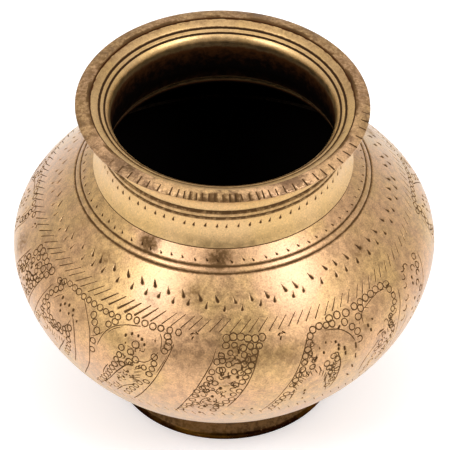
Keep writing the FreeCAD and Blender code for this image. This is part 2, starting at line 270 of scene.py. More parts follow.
class Engraver:
    """Cuts marks into a turned surface.

    A place is a pair: degrees round the pot from its front, and the run along the outline.
    """

    def __init__(self, outline, seed):
        self.outline = outline
        self.chance = random.Random(seed)
        self.cuts = []
        self.shift = 0.0

    def about(self, value, spread):
        """The value, give or take the spread."""
        return value + self.chance.uniform(-spread, spread)

    def near(self, place, across, along):
        """The place that many millimetres round the pot and along the outline."""
        return place[0] + math.degrees(across / self.outline.radius(place[1])), place[1] + along

    def cut(self, places, half_widths, depth, ink, closed=False):
        self.cuts.append(Cut(places, half_widths, depth, ink, closed).moved(self.shift))

    def ring(self, place, size=1.11, start=0, turn=FULL_TURN, half_width=0.33, ink=0.72, depth=0.26):
        """The mark of a ring punch, or with less than a full turn, a crescent."""
        closed = turn >= FULL_TURN
        steps = RING_STEPS if closed else max(math.ceil(turn / CRESCENT_STEP), 3)
        angles = np.radians(start + np.linspace(0, turn, steps + 1)[:steps + (not closed)])
        wide, tall = self.about(size, 0.12), self.about(size, 0.12)
        places = [self.near(place, wide * math.sin(a), tall * math.cos(a)) for a in angles]
        widths = [self.about(half_width, 0.05) for _ in angles]
        self.cut(places, widths, depth, self.about(ink, 0.12), closed)

    def rings(self, places, **options):
        for place in places:
            self.ring(place, **options)

    def dot(self, place, size=0.68, lean=0.0, length=0.4, ink=1.0, depth=0.35):
        """A round or drawn-out punch mark."""
        across, along = length / 2 * math.sin(lean), length / 2 * math.cos(lean)
        places = [self.near(place, sign * across, sign * along) for sign in (-1, 1)]
        self.cut(places, self.about(size, 0.06), depth, ink)

    def dots(self, places, **options):
        for place in places:
            self.dot(place, **options)

    def wedge(self, place, across, along, broad=0.5, ink=1.0, depth=0.4):
        """A tapering mark from its tip to its broad end, centred on the place."""
        tip = self.near(place, -across / 2, -along / 2)
        end = self.near(place, across / 2, along / 2)
        self.cut([tip, end], [0.1, broad], depth, ink)

    def line(self, places, half_width=0.27, ink=0.75, depth=0.22):
        """A smooth graver line through the places, thinner at its ends."""
        way = self.smooth(places, 1.6)
        widths = np.array([self.about(half_width, 0.15 * half_width) for _ in way])
        widths[0] *= 0.6
        widths[-1] *= 0.6
        self.cut(way, widths, depth, ink)

    def chain(self, places, pitch=2.4, stray=0.15, **options):
        """Ring marks along a smooth way."""
        way = self.smooth(places, pitch)
        for place in way:
            self.ring(self.near(place, self.about(0, stray), self.about(0, stray)), **options)

    def strew(self, left, right, count):
        """Small crescents strewn between two ways."""
        left, right = self.smooth(left, 1.0), self.smooth(right, 1.0)
        for _ in range(count):
            down, over, start = (self.chance.random() for _ in range(3))
            a, b = (way[int(down * len(way))] for way in (left, right))
            self.ring(tuple(a + (b - a) * (0.1 + 0.8 * over)), self.about(0.85, 0.2), FULL_TURN * start,
                      self.about(180, 60), 0.28, 0.66, 0.22)

    def fringe(self, places, across, along, pitch, **options):
        """Short strokes side by side along a way, each from the way to an offset from it."""
        for place in self.smooth(places, pitch):
            end = self.near(place, self.about(across, 0.25), self.about(along, 0.35))
            self.line([place, end], **options)

    def smooth(self, places, spacing):
        """Places evenly spaced along the Catmull-Rom curve through the given ones."""
        places = np.array(places, float)
        ends = 2 * places[[0, -1]] - places[[1, -2]]
        padded = np.vstack([ends[:1], places, ends[1:]])
        fine = []
        for a, b, c, d in zip(padded, padded[1:], padded[2:], padded[3:]):
            for t in np.linspace(0, 1, 8, endpoint=False):
                bend = (2 * a - 5 * b + 4 * c - d) * t + (3 * b - a - 3 * c + d) * t * t
                fine.append(b + t * (c - a + bend) / 2)
        fine = np.array([*fine, places[-1]])
        scale = [math.radians(self.outline.radius(places[:, 1].mean())), 1.0]
        run = np.concatenate([[0], np.cumsum(np.hypot(*(np.diff(fine, axis=0) * scale).T))])
        count = max(round(run[-1] / spacing), 1) + 1
        at = np.linspace(0, run[-1], count)
        return np.stack([np.interp(at, run, fine[:, k]) for k in (0, 1)], 1)


class Patch:
    """Part of a piece's surface, in millimetres."""

    def __init__(self, points, faces, ink, shade_and_grime, facing=None, ground=None):
        self.points = points
        self.faces = faces
        self.ink = np.broadcast_to(ink, len(points))
        self.shade_and_grime = np.broadcast_to(shade_and_grime, len(points))
        self.facing = np.zeros((len(points), 3)) if facing is None else facing
        self.ground = np.zeros(len(faces), bool) if ground is None else ground


def solid_points(turn, radius, height):
    """Points in space from degrees round the pot, a radius and a height."""
    angle = np.radians(turn)
    return np.stack([radius * np.sin(angle), -radius * np.cos(angle), height], 1)


def turned_patch(points, ink, shade_and_grime):
    """The surface of a way turned about the pot's axis. Ink, grime and painted shade may vary along it."""
    points = np.array(points, float)
    rows = len(points)
    turn = np.arange(COLUMNS) * FULL_TURN / COLUMNS - HALF_TURN
    grid = np.arange(rows * COLUMNS).reshape(rows, COLUMNS)
    beside = np.roll(grid, -1, 1)
    faces = []
    for row in range(rows - 1):
        corners = (grid[row], beside[row], beside[row + 1], grid[row + 1])
        faces.extend(zip(*(c.tolist() for c in corners)))
    solid = solid_points(np.tile(turn, rows), *np.repeat(points, COLUMNS, 0).T)
    spread = (np.repeat(np.broadcast_to(value, rows), COLUMNS) for value in (ink, shade_and_grime))
    return Patch(solid, faces, *spread)


def flat_points(band, cuts, outline):
    """The points and edges that the band's triangles have to keep, as turns and runs."""
    rows = [run for run in outline.run if band[0] - SAME_RUN <= run <= band[1] + SAME_RUN]
    turns = np.linspace(-HALF_TURN, HALF_TURN, COLUMNS + 1)
    points = [(turn, run) for run in rows for turn in turns]
    kept_rows = {0, len(rows) - 1, int(np.argmin(np.abs(np.array(rows) - seam_run(outline))))}
    edges = []
    for row in kept_rows:
        first = row * len(turns)
        edges.extend((first + k, first + k + 1) for k in range(COLUMNS))
    for column in (0, COLUMNS):
        ends = [row * len(turns) + column for row in range(len(rows))]
        edges.extend(zip(ends, ends[1:]))
    for cut in cuts:
        loops = [(loop, True) for loop in cut.loops(outline)]
        for loop, closed in [*loops, (cut.places, cut.closed)]:
            first = len(points)
            points.extend(map(tuple, loop))
            edges.extend((first + k, first + k + 1) for k in range(len(loop) - 1))
            if closed:
                edges.append((first + len(loop) - 1, first))
    return np.array(points), edges


def seam_run(outline):
    """The run at which the body's two shells meet."""
    return float(outline.run[np.argmax(outline.points[:, 0])])


def press(places, cuts, outline):
    """How deep the cuts go at each place, and how dark they are there."""
    depth, ink = np.zeros(len(places)), np.zeros(len(places))
    order = np.argsort(places[:, 0])
    sorted_turns = places[order, 0]
    for cut in cuts:
        scale = cut.scale(outline)
        widest = cut.half_widths.max()
        low = cut.places.min(0) - widest / scale
        high = cut.places.max(0) + widest / scale
        first, last = np.searchsorted(sorted_turns, [low[0], high[0]])
        picks = order[first:last]
        picks = picks[(places[picks, 1] > low[1]) & (places[picks, 1] < high[1])]
        if not len(picks):
            continue
        starts, widths = cut.places * scale, cut.half_widths
        ends, end_widths = np.roll(starts, -1, 0), np.roll(widths, -1)
        if not cut.closed:
            starts, widths, ends, end_widths = starts[:-1], widths[:-1], ends[:-1], end_widths[:-1]
        way = ends - starts
        offset = (places[picks] * scale)[:, None] - starts
        share = np.clip((offset * way).sum(2) / np.maximum((way**2).sum(1), 1e-12), 0, 1)
        gap = np.hypot(*np.moveaxis(offset - share[..., None] * way, 2, 0))
        half = widths + share * (end_widths - widths)
        depth[picks] = np.maximum(depth[picks], cut.depth / widest * (half - gap).max(1))
        ink[picks] = np.maximum(ink[picks], cut.ink * (1 - gap / half).max(1))
    return depth, ink


def engraved_patch(outline, band, cuts):
    """The turned surface of a band of an outline, with the cuts sunk into it."""
    cuts = [cut.moved(turn) for cut in cuts for turn in (-FULL_TURN, 0, FULL_TURN)]
    margin = 3.0
    near = HALF_TURN + margin
    cuts = [c for c in cuts if c.places[:, 0].max() > -near and c.places[:, 0].min() < near]
    places, edges = flat_points(band, cuts, outline)
    spread = np.array([math.radians(outline.points[:, 0].max()), 1.0])
    flat, _, triangles, *_ = delaunay_2d_cdt(
        [Vector(p) for p in places * spread], edges, [], 0, SAME_PLACE, False
    )
    places = np.array([p[:] for p in flat]) / spread
    faces = np.array([t for t in triangles if len(t) == 3])
    middle = places[faces].mean(1)
    inside = (abs(middle[:, 0]) < HALF_TURN) & (middle[:, 1] > band[0]) & (middle[:, 1] < band[1])
    faces = faces[inside]
    depth, ink = press(places, cuts, outline)
    radius, height = outline.place(places[:, 1])
    out, up = outline.outward(places[:, 1])
    solid = solid_points(places[:, 0], radius - depth * out, height - depth * up)
    ground = ink[faces].max(1) < GROUND_INK
    return Patch(solid, faces.tolist(), ink, 0.0, solid_points(places[:, 0], out, up), ground)


def keep_faces(patch, wanted):
    """The patch with only the faces that are wanted."""
    faces = [face for face, keep in zip(patch.faces, wanted) if keep]
    used = sorted({corner for face in faces for corner in face})
    number = {old: new for new, old in enumerate(used)}
    renumbered = [tuple(number[corner] for corner in face) for face in faces]
    return Patch(
        patch.points[used], renumbered, patch.ink[used], patch.shade_and_grime[used],
        patch.facing[used], patch.ground[wanted],
    )


# Between these heights the lean grows from nothing to the whole of it.
LEAN_LOW = 106.0
LEAN_HIGH = 121.0
LEAN_RIGHT = math.tan(math.radians(1.3))
LEAN_BACK = math.tan(math.radians(0.5))


def leaned(points):
    """The neck was bent a little: above its foot it leans to the right and back."""
    share = np.clip((points[:, 2] - LEAN_LOW) / (LEAN_HIGH - LEAN_LOW), 0, 1)
    drop = points[:, 0] * LEAN_RIGHT + points[:, 1] * LEAN_BACK
    return points - np.outer(share**2 * (3 - 2 * share) * drop, (0, 0, 1))


def piece(name, patches, material, node):
    """One closed mesh from its patches. It stands for a CAD node and rides with it."""
    starts = np.cumsum([0] + [len(patch.points) for patch in patches])
    faces = [
        tuple(corner + start for corner in face)
        for patch, start in zip(patches, starts)
        for face in patch.faces
    ]
    points = leaned(np.vstack([patch.points for patch in patches]))
    mesh = bpy.data.meshes.new(name)
    mesh.from_pydata((points * MM).tolist(), [], faces)
    for key in ("ink", "shade_and_grime"):
        values = np.concatenate([getattr(patch, key) for patch in patches])
        mesh.attributes.new(key, "FLOAT", "POINT").data.foreach_set("value", values)
    normals = [
        patch.facing[corner] if ground else (0.0, 0.0, 0.0)
        for patch in patches
        for face, ground in zip(patch.faces, patch.ground)
        for corner in face
    ]
    layer = mesh.attributes.new("facing", "FLOAT_VECTOR", "CORNER")
    layer.data.foreach_set("vector", np.array(normals, np.float32).ravel())
    weld(mesh)
    mesh.set_sharp_from_angle(angle=SHARP_ANGLE)
    normals = np.zeros(len(mesh.loops) * 3, np.float32)
    mesh.attributes["facing"].data.foreach_get("vector", normals)
    mesh.attributes.remove(mesh.attributes["facing"])
    mesh.normals_split_custom_set(normals.reshape(-1, 3).tolist())
    mesh.materials.append(material)
    made = bpy.data.objects.new(name, mesh)
    bpy.context.scene.collection.objects.link(made)
    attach(made, "root")
    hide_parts(node)


def weld(mesh):
    """Joins the patches' edges and turns every face outwards."""
    shell = bmesh.new()
    shell.from_mesh(mesh)
    bmesh.ops.remove_doubles(shell, verts=shell.verts, dist=WELD)
    bmesh.ops.dissolve_degenerate(shell, edges=shell.edges, dist=WELD / 20)
    bmesh.ops.recalc_face_normals(shell, faces=shell.faces)
    for face in shell.faces:
        face.smooth = True
    shell.to_mesh(mesh)
    shell.free()


# ---------------------------------------------------------------- the body's ornament


PANELS = 5
PANEL_TURN = FULL_TURN / PANELS

# The runs of the rows that go all round, measured down the outline from the mouth. A turned
# line is a run and a half width.
TURNED_LINES = ((11.4, 0.72), (13.9, 0.78))
LINE_DEPTH, LINE_INK = 0.4, 0.62
NECK_ROW = 9.3
HIGH_WEDGES, LOW_WEDGES = 21.4, 24.5
HATCH_ROW = 32
BORDER_ROW = 74.4

# How many degrees apart the marks of those rows are.
NECK_ROW_STEP = 4.8
WEDGE_STEP = 5.55
BORDER_STEP = 2.75
HATCHES = 124


def wave(turn, middle, swing):
    """A row's height round the pot. It rises and falls once with each panel."""
    return middle + swing * math.cos(math.radians(PANELS * (turn - 2)))


def turned_lines(body):
    """The two lines turned around the shoulder."""
    for run, half_width in TURNED_LINES:
        turns = np.arange(-HALF_TURN - 4, HALF_TURN + 5, 2.0)
        bold = [0.06 * math.cos(math.radians(3 * t + 90)) + body.about(0, 0.03) for t in turns]
        widths = half_width + np.array(bold)
        body.cut([(turn, run) for turn in turns], widths, LINE_DEPTH, LINE_INK)


def left_in(turn):
    """The share of a wedge that wear has left. The left side is the most worn."""
    return float(np.interp(abs(turn + 88), (24, 46), (0.66, 1.0)))


def punched_rows(body):
    """Rows of small marks: one under the neck, and two staggered rows of wedges."""
    for turn in np.arange(0, FULL_TURN, NECK_ROW_STEP):
        place = body.about(turn, 0.6) - HALF_TURN, body.about(NECK_ROW, 0.3)
        body.wedge(place, 0.5, 0.8, broad=0.48)
    for turn in np.arange(0, FULL_TURN, WEDGE_STEP):
        turn = body.about(turn, 0.9) - HALF_TURN
        place = turn, wave(turn, HIGH_WEDGES, 1.1) + body.about(0, 0.5)
        left = left_in(turn)
        body.wedge(place, body.about(0.9, 0.3), body.about(2.3, 0.3), broad=0.86 * left, ink=left)
        turn += body.about(2.9, 0.5)
        place = turn, wave(turn, LOW_WEDGES, 0.8) + body.about(0, 0.5)
        body.wedge(place, body.about(-0.3, 0.2), body.about(2.0, 0.3), broad=0.78 * left, ink=left)


def hatched_band(body):
    """The band of slanting strokes. The ones at the front left were struck harder."""
    for k in range(HATCHES):
        turn = body.about(FULL_TURN * k / HATCHES, 0.35) - HALF_TURN
        middle = HATCH_ROW + 1.2 * math.sin(math.radians(2 * turn)) + body.about(0, 0.25)
        long = math.cos(math.radians(turn + 60))
        reach = 2.0 + 0.5 * long
        slant = 1.6 + 0.9 * long
        past = (turn + 31) % FULL_TURN
        hard = math.exp(-((past * (FULL_TURN - past) / 3000) ** 2))
        thick = body.about(0.27, 0.06) + 0.34 * hard
        top = body.near((turn, middle - reach), slant, 0)
        bottom = body.near((turn, middle + reach), -slant, 0)
        body.cut([top, bottom], [0.16 + 0.12 * hard, thick], 0.22 + 0.15 * hard, 0.85)


def left_leaf_panel(body):
    """Two curling leaves under a chain of rings, with a plain band between them."""
    body.chain([(-57, 37.3), (-54, 35.6), (-50, 35.4), (-44, 35.8), (-38, 36.1), (-32.8, 36)], 2.7)
    body.chain([(-29.5, 34.7), (-24, 35.1), (-18, 35.3), (-13.8, 35.4)], 2.9)
    # The first leaf: a plain eye in a field of rings.
    body.line([(-58.3, 39.7), (-59.3, 44), (-60.6, 49), (-62, 54), (-64.5, 60), (-68, 67)], 0.24)
    body.chain([(-55, 38.6), (-56.6, 41.3), (-57.7, 44.3), (-58.2, 47.6)], 2.6, size=1.11)
    body.line([(-53.2, 40.2), (-54.4, 41.6), (-55.3, 43.4)], 0.2)
    body.dots([(-52.5, 40.8), (-50.8, 42.1), (-49.2, 41.5), (-47.2, 42), (-52, 43.6)])
    body.dots([(-48.2, 44.2), (-46.7, 43.8), (-44.8, 44.8), (-51.4, 45.5)], size=0.5)
    body.chain([(-56.4, 47.2), (-55.6, 49.8), (-52.8, 51.2), (-50, 51), (-48.6, 50.6)], 2.3, size=0.98)
    body.chain([(-58.6, 51), (-56.5, 52.8), (-53.8, 53.8), (-51.4, 53.6), (-49.6, 53)], 2.6, size=0.98)
    body.chain([(-60.5, 55), (-62.5, 60), (-65.5, 66), (-69, 72)], 2.8)
    body.chain([(-46.6, 48.8), (-46.9, 51.7), (-46.6, 55), (-47, 58), (-48, 61), (-49.5, 65)], 2.7)
    body.fringe([(-56, 56), (-52.5, 56.5), (-49.6, 56)], -0.3, 2.6, 1.4, half_width=0.26)
    body.line([(-46.7, 43.8), (-45.3, 47), (-44.4, 50.5), (-44.1, 55), (-44.6, 60), (-46.2, 66)], 0.26)
    body.line([(-47, 46), (-47.6, 48.4), (-49.2, 50.4)], 0.2)
    body.line([(-48.4, 56), (-50, 60), (-52.5, 65), (-56, 72)], 0.24)
    # The stalk that parts the leaves.
    body.line([(-45.4, 36.6), (-43.2, 39.3), (-40.9, 42.8), (-39.5, 46), (-39, 50), (-38.8, 54),
               (-39.2, 58), (-40.5, 63), (-42.5, 68), (-44.6, 73)], 0.26)
    body.chain([(-40.4, 39.4), (-39.1, 41.7), (-37.7, 43.9)], 2.6, size=1.25)
    body.chain([(-38.1, 48), (-38, 51.6)], 3, size=1.16)
    body.rings([(-33.2, 38), (-34.9, 39.8)], size=1.16)
    body.line([(-38.8, 46.5), (-37, 45), (-35.6, 43)], 0.18)
    body.line([(-25.2, 36.4), (-29.3, 37.4), (-32.8, 39.5), (-34.7, 42), (-35.8, 45), (-36.5, 48.6)], 0.24)
    body.line([(-30.5, 38.6), (-33, 40.6), (-34.2, 42.6)], 0.16)
    # The second leaf.
    body.dots([(-28.8, 41), (-27.1, 39.8), (-25.1, 39.8), (-23.8, 40.6), (-22.8, 42.2)], size=0.6)
    body.dots([(-20, 40), (-28.3, 43.6), (-23.7, 44.6)], size=0.4, ink=0.6)
    body.rings([(-25.3, 43.1), (-26.3, 46.3), (-29.2, 45.8), (-24.6, 48.6), (-26.4, 50.2)], size=1.25)
    body.line([(-27.6, 44.4), (-26, 44.8), (-24.6, 43.9), (-23.5, 43.9)], 0.22)
    body.chain([(-29.4, 48.8), (-30.4, 51.6), (-31, 54.4), (-32.1, 57.3), (-33.1, 60.3), (-34.5, 63.4),
                (-36.5, 67.5), (-38.8, 72)], 2.7)
    body.ring((-28.5, 52.2), size=1.07)
    body.line([(-32.8, 55), (-34.2, 58.3), (-35.2, 62)], 0.26)
    body.line([(-26.8, 51.6), (-28.6, 54.2), (-30.2, 57), (-31.6, 60), (-33.2, 63.6), (-36, 69)], 0.28)
    body.dots([(-28.3, 59), (-30.1, 60.8)], size=0.6)
    body.fringe([(-22.9, 51.4), (-22.9, 53.6), (-23.2, 55.8), (-23.6, 57.6)], -2.3, 1.1, 1.5,
                half_width=0.26)
    body.line([(-24.7, 48.9), (-22.3, 48.7), (-20.6, 47.3), (-19.4, 45.4), (-18.6, 43.6)], 0.26)
    body.chain([(-19.4, 45.6), (-19.3, 48), (-19.9, 50.6), (-20.5, 53.2)], 2.3, size=1.11)
    body.ring((-22.1, 50.8), size=0.98)
    body.chain([(-21.6, 57.4), (-24.3, 60.4), (-25.5, 63.4), (-27, 66.5), (-29, 70.5)], 3)
    body.line([(-23.4, 57.8), (-25.4, 59.6)], 0.3)
    body.line([(-25.2, 61.6), (-28, 64), (-30.2, 67.3), (-32.4, 71.5)], 0.32)
    body.chain([(-16.6, 37.4), (-15.9, 39.8), (-16.9, 42.7)], 2.3, size=1.2)
    body.line([(-18.9, 37.2), (-18.1, 39.4), (-18, 43)], 0.24)
    body.line([(-14.5, 39.6), (-15.4, 43.5), (-16.9, 48.5), (-18.7, 54), (-20.4, 58.5), (-22.4, 63.5),
               (-24.6, 68.5), (-27.4, 74)], 0.26)
    body.line([(-15.9, 44), (-17.2, 48), (-18.5, 51.5)], 0.15)
    body.strew([(-59, 47), (-61.5, 54), (-65, 64), (-67, 70)],
               [(-52, 47), (-50, 55), (-51.5, 64), (-54, 70)], 22)
    body.strew([(-28.5, 44), (-30, 52), (-34, 62), (-38, 71)],
               [(-22, 44), (-22.5, 55), (-26, 64), (-30, 71)], 34)


def dotted_strip(body):
    """A leaning strip of rings between two lines, with dots and curls down its middle."""
    body.line([(-2.6, 40), (-3.4, 44), (-4.8, 48), (-6.6, 53), (-8.6, 59), (-10.9, 65), (-13, 71),
               (-14.8, 76)], 0.28)
    body.line([(9.6, 40), (8.6, 44), (7.6, 48), (6.4, 52), (4.4, 58), (2.4, 63.4), (0.4, 68)], 0.28)
    body.chain([(0.4, 36.4), (3.2, 35.9), (5.8, 36.4), (8, 37), (10.6, 36.9)], 2.7, size=1.34)
    body.chain([(-1.6, 47.9), (-3.6, 48.4), (-4.1, 51), (-5.3, 54.6), (-7.4, 57.7), (-8.1, 61)], 2.9)
    body.chain([(-9.1, 64), (-8.2, 66.4), (-11, 69), (-12.8, 73)], 3)
    body.chain([(9.6, 39.8), (8, 41.8), (7.3, 45.2), (5.9, 48.8), (4.5, 52.7), (2.6, 54.3)], 2.6)
    body.chain([(3.6, 57.6), (1.9, 59.9), (1.3, 63), (-0.6, 65.4), (-2.4, 68.2), (-3.6, 71.6)], 2.7)
    body.rings([(0.2, 38.8), (5, 39.9), (7.1, 39.4), (-1.1, 42.4), (0.9, 45.6), (-0.8, 47.6)], size=1.16)
    body.rings([(4, 48.9), (5, 45.9), (-2.8, 53.2), (2.6, 38.7), (1.4, 41.4), (-2.3, 44.6)], size=1.03)
    body.rings([(-0.8, 44.2), (2.3, 48.3), (5.2, 42.4), (6.2, 44.2), (-5.2, 57.4)], size=1.07)
    body.dots([(2.6, 43.4), (4.4, 47.2), (-1.2, 49.4), (3.2, 50.6)], size=0.7)
    for turn, run in ((-2.4, 64.2), (-5.6, 65), (-4.2, 63.4), (-0.6, 59.2), (-1.9, 66.8), (-6.9, 69.6)):
        body.ring((turn, run), size=0.89, start=200, turn=180, half_width=0.3)
    body.line([(1.8, 46.2), (2.4, 45.3), (4.1, 45.2), (5.4, 44.2), (6, 42)], 0.5, depth=0.35)
    body.dots([(0.8, 50.4), (-1.4, 55.7), (-3.6, 60.7), (-5.9, 68.4), (-7.6, 74.6)], size=0.8)
    body.dot((3.7, 41), size=0.5, length=1.1)
    body.line([(0.8, 53.4), (2.6, 52.4)], 0.3)
    body.line([(-6.8, 58.2), (-5.2, 57.9), (-4.8, 59.6)], 0.28)
    body.line([(-4.8, 57.6), (-3.7, 56.6), (-2.8, 57.2), (-2.2, 59.3)], 0.32)
    body.line([(-4.4, 61.2), (-6, 62.6), (-6.8, 64.4), (-7.2, 66.6)], 0.26)
    body.line([(-2.7, 62), (-2.4, 64.4), (-3.1, 66.6)], 0.28)
    body.line([(-1.4, 57.4), (-0.7, 61)], 0.14, ink=0.5)
    body.ring((-4.6, 67.2), size=0.81, start=120, turn=200)
    body.strew([(-1.6, 40), (-4.8, 48), (-8.6, 59), (-13, 71)], [(9, 40), (7, 48), (3.4, 58), (-1, 70)], 46)


def right_leaf_panel(body):
    """Two leaves again, the first with a fringe of short strokes inside it."""
    body.chain([(24.4, 40.4), (25.6, 38.6), (27.9, 37.9), (29.8, 38.6), (32, 39)], 2.4, size=1.16)
    body.chain([(31.5, 36.7), (34.5, 37.1), (37.3, 37.6)], 3.1, size=1.34)
    body.chain([(40.7, 37.3), (43.8, 36.9), (46.5, 37), (49.2, 36.9), (51.9, 37), (54.3, 38.2)], 3,
               size=1.29)
    # The first leaf.
    body.line([(23.6, 40), (22.4, 43), (20.9, 47), (18.9, 52.5), (16.6, 58.5), (14.6, 64), (12.6, 69),
               (10, 75)], 0.26)
    body.chain([(23.8, 42.4), (22.6, 45.2), (21.6, 47.9), (21.1, 50.6), (20.1, 53.2), (19, 55.6),
                (18.1, 58.6)], 2.5, size=1.16)
    body.chain([(16.6, 63.6), (15.7, 66.6), (14.3, 69.6), (13.2, 73)], 2.9, size=1.16)
    body.chain([(24.4, 43.4), (23.4, 46.2)], 2.6, size=0.81)
    body.rings([(23.6, 52), (27.9, 52.8), (30, 50.6), (31.1, 52.6), (28.6, 55.2)], size=1.11)
    body.rings([(31.1, 57.8), (29.1, 58), (30, 60.4), (30.3, 63.2), (29, 66.4)], size=1.03)
    body.fringe([(20.6, 55.8), (19.4, 57.6), (18.6, 60)], 1.3, 2.0, 1.7, half_width=0.3)
    body.fringe([(21.6, 52.8), (23.6, 53.6), (25.5, 52.6)], 0.9, 2.6, 1.7, half_width=0.3)
    body.fringe([(26, 54.4), (27.8, 57.4), (28, 60.4)], -0.5, 2.7, 1.8, half_width=0.3)
    body.line([(18.8, 63.8), (18.4, 66), (17.9, 68.6)], 0.34)
    body.line([(31.4, 49.8), (32, 54), (31.9, 59), (31.4, 64), (30.2, 69)], 0.34)
    body.line([(28, 58.4), (28, 63), (28.8, 67), (29, 70)], 0.2)
    body.dots([(31.3, 45.6), (32, 47.2), (31.8, 48.6), (27.3, 47.8)], size=0.65, depth=0.4)
    body.dots([(30, 45), (28.4, 44.4), (26.3, 45.6)], size=0.4, ink=0.6)
    body.dot((24.7, 49.2), size=0.5, lean=-0.7, length=1.4)
    body.dots([(33.6, 49.4), (33.7, 51.6)], size=0.55, length=1.0)
    body.dots([(22, 64.5), (22, 66.6), (22, 70.6)], size=0.5, length=0.8, ink=0.8)
    body.line([(29.4, 40.2), (31.6, 40.9), (33.6, 42), (35.2, 43.8), (36.4, 46), (37.2, 48.6)], 0.28)
    body.dot((33.5, 41.2), size=0.6, lean=-0.9, length=0.9)
    # The stalk and its dashes.
    body.rings([(35.7, 40.4), (37.4, 43.2), (38.6, 45.7), (42.3, 39), (40.4, 41.1)], size=1.25)
    body.ring((38.7, 48.9), size=1.2, start=-30, turn=240)
    body.line([(40.2, 42), (39.9, 43.6)], 0.2)
    body.line([(44.6, 40.5), (43.4, 39.6), (41.6, 41.2), (41.1, 44.2)], 0.26)
    for run, lean in ((50.6, 0.0), (55.2, 0.05), (60.6, 0.35), (65.4, 0.6)):
        body.dot((37.2 - (run - 50) ** 2 / 150, run), size=0.36, lean=lean, length=2.0, ink=0.8)
    # The second leaf.
    body.line([(43.6, 39.6), (46.4, 38.7), (50, 38.1), (52.6, 38.8)], 0.2)
    body.dots([(42.4, 46), (43, 48.2)], size=0.55, length=0.7)
    body.dot((44.4, 44.8), size=0.5, lean=0.5, ink=0.7)
    body.dots([(54.6, 38.8), (54.6, 42.1)], size=0.4, lean=1.5, length=1.6)
    body.chain([(54.2, 40.4), (54.4, 44.2), (52.6, 46.6), (50.8, 48.8), (50.3, 51.2)], 2.6, size=1.07)
    body.chain([(50.4, 52.6), (51.4, 55.4), (51, 59), (49.6, 63), (47.4, 67)], 2.7, size=1.07)
    body.line([(57, 42.6), (56.2, 46), (54.8, 50), (53.6, 54)], 0.26)
    body.line([(44.8, 52), (46, 51.4), (47.6, 51.6)], 0.5, depth=0.35)
    body.fringe([(46.6, 52.6), (48.6, 52.4), (50, 51.8)], 0.5, 2.4, 1.8, half_width=0.26)
    body.line([(45.2, 54.8), (43.6, 57), (41.8, 59.6), (40.6, 63), (40, 67)], 0.3)
    body.chain([(46.4, 57), (45, 60), (44.4, 63.4), (43.6, 67), (42, 71)], 2.8, size=1.07)
    body.line([(53.4, 54), (53.2, 59), (51.6, 65), (49.4, 71)], 0.26)
    body.strew([(22.5, 45), (20.5, 51), (18, 58), (13, 70)], [(26, 46), (24, 53), (21, 60), (16.5, 70)], 24)
    body.strew([(28, 50), (28.5, 57), (27, 66)], [(31.5, 49), (31.6, 57), (31, 66)], 18)
    body.strew([(46, 50), (45, 57), (42, 68)], [(54, 48), (53, 56), (50, 68)], 26)


def crescent_strip(body):
    """A looser strip of crescents and dots between two lines."""
    for place in ((62.6, 38.8), (61.2, 41), (60.1, 43.8), (58.9, 48), (57.2, 51), (56, 54.4)):
        body.ring(place, size=1.16, start=-60, turn=160, half_width=0.32)
    body.rings([(64.4, 39.6), (66.6, 42.4), (67.6, 45.6), (65.8, 48.4)], size=1.07, start=60, turn=230)
    body.rings([(70, 40.6), (69, 43.6), (66.8, 52), (65.4, 55.6), (63.8, 59.4), (62, 63)], size=1.16)
    body.dots([(63.6, 46.4), (64.2, 44.4), (62.8, 52.4), (61.4, 56)], size=0.6)
    body.line([(72.4, 41), (70.8, 46), (68.6, 52), (66, 58.4), (63, 65), (60, 71)], 0.26)
    body.line([(58.4, 56), (57, 60), (55, 65), (52.6, 71)], 0.26)


def small_flowers(body):
    """The small sprigs on the plain bands between the panels and strips."""
    for turn, run in ((-9, 35.8), (16.4, 37.4)):
        for across, along in ((-0.9, -0.6), (0.9, -0.9), (-0.5, 0.9)):
            body.dot(body.near((turn, run), across, along), size=0.32, lean=across, length=0.9)
        body.ring((turn, run), size=0.81, start=140, turn=150, half_width=0.16, ink=0.6)
    body.dots([(5, 71.7), (7.3, 71.4)], size=0.6, lean=-0.4, length=0.6, ink=0.8)


def foot_border(body):
    """Slanting commas around the lower edge of the ornament."""
    for turn in np.arange(0, FULL_TURN, BORDER_STEP):
        start = body.about(turn, 0.3) - HALF_TURN, body.about(BORDER_ROW, 0.4)
        end = body.near(start, 1.1, 2.7)
        body.cut([start, end], [0.28, 0.14], 0.25, body.about(0.7, 0.2))


def body_engraving(outline):
    """All of the body's ornament: bands that go all round, and five panels with their strips."""
    body = Engraver(outline, 11)
    turned_lines(body)
    punched_rows(body)
    hatched_band(body)
    foot_border(body)
    for panel in range(PANELS):
        even = panel % 2 == 0
        body.shift = PANEL_TURN * (panel if even else panel - 1)
        if even:
            left_leaf_panel(body)
            dotted_strip(body)
            small_flowers(body)
        else:
            right_leaf_panel(body)
            crescent_strip(body)
    for cut in body.cuts:
        middle = cut.places[:, 0].mean()
        if middle > HALF_TURN:
            cut.places = cut.places - [FULL_TURN, 0]
    return body.cuts


# ---------------------------------------------------------------- materials


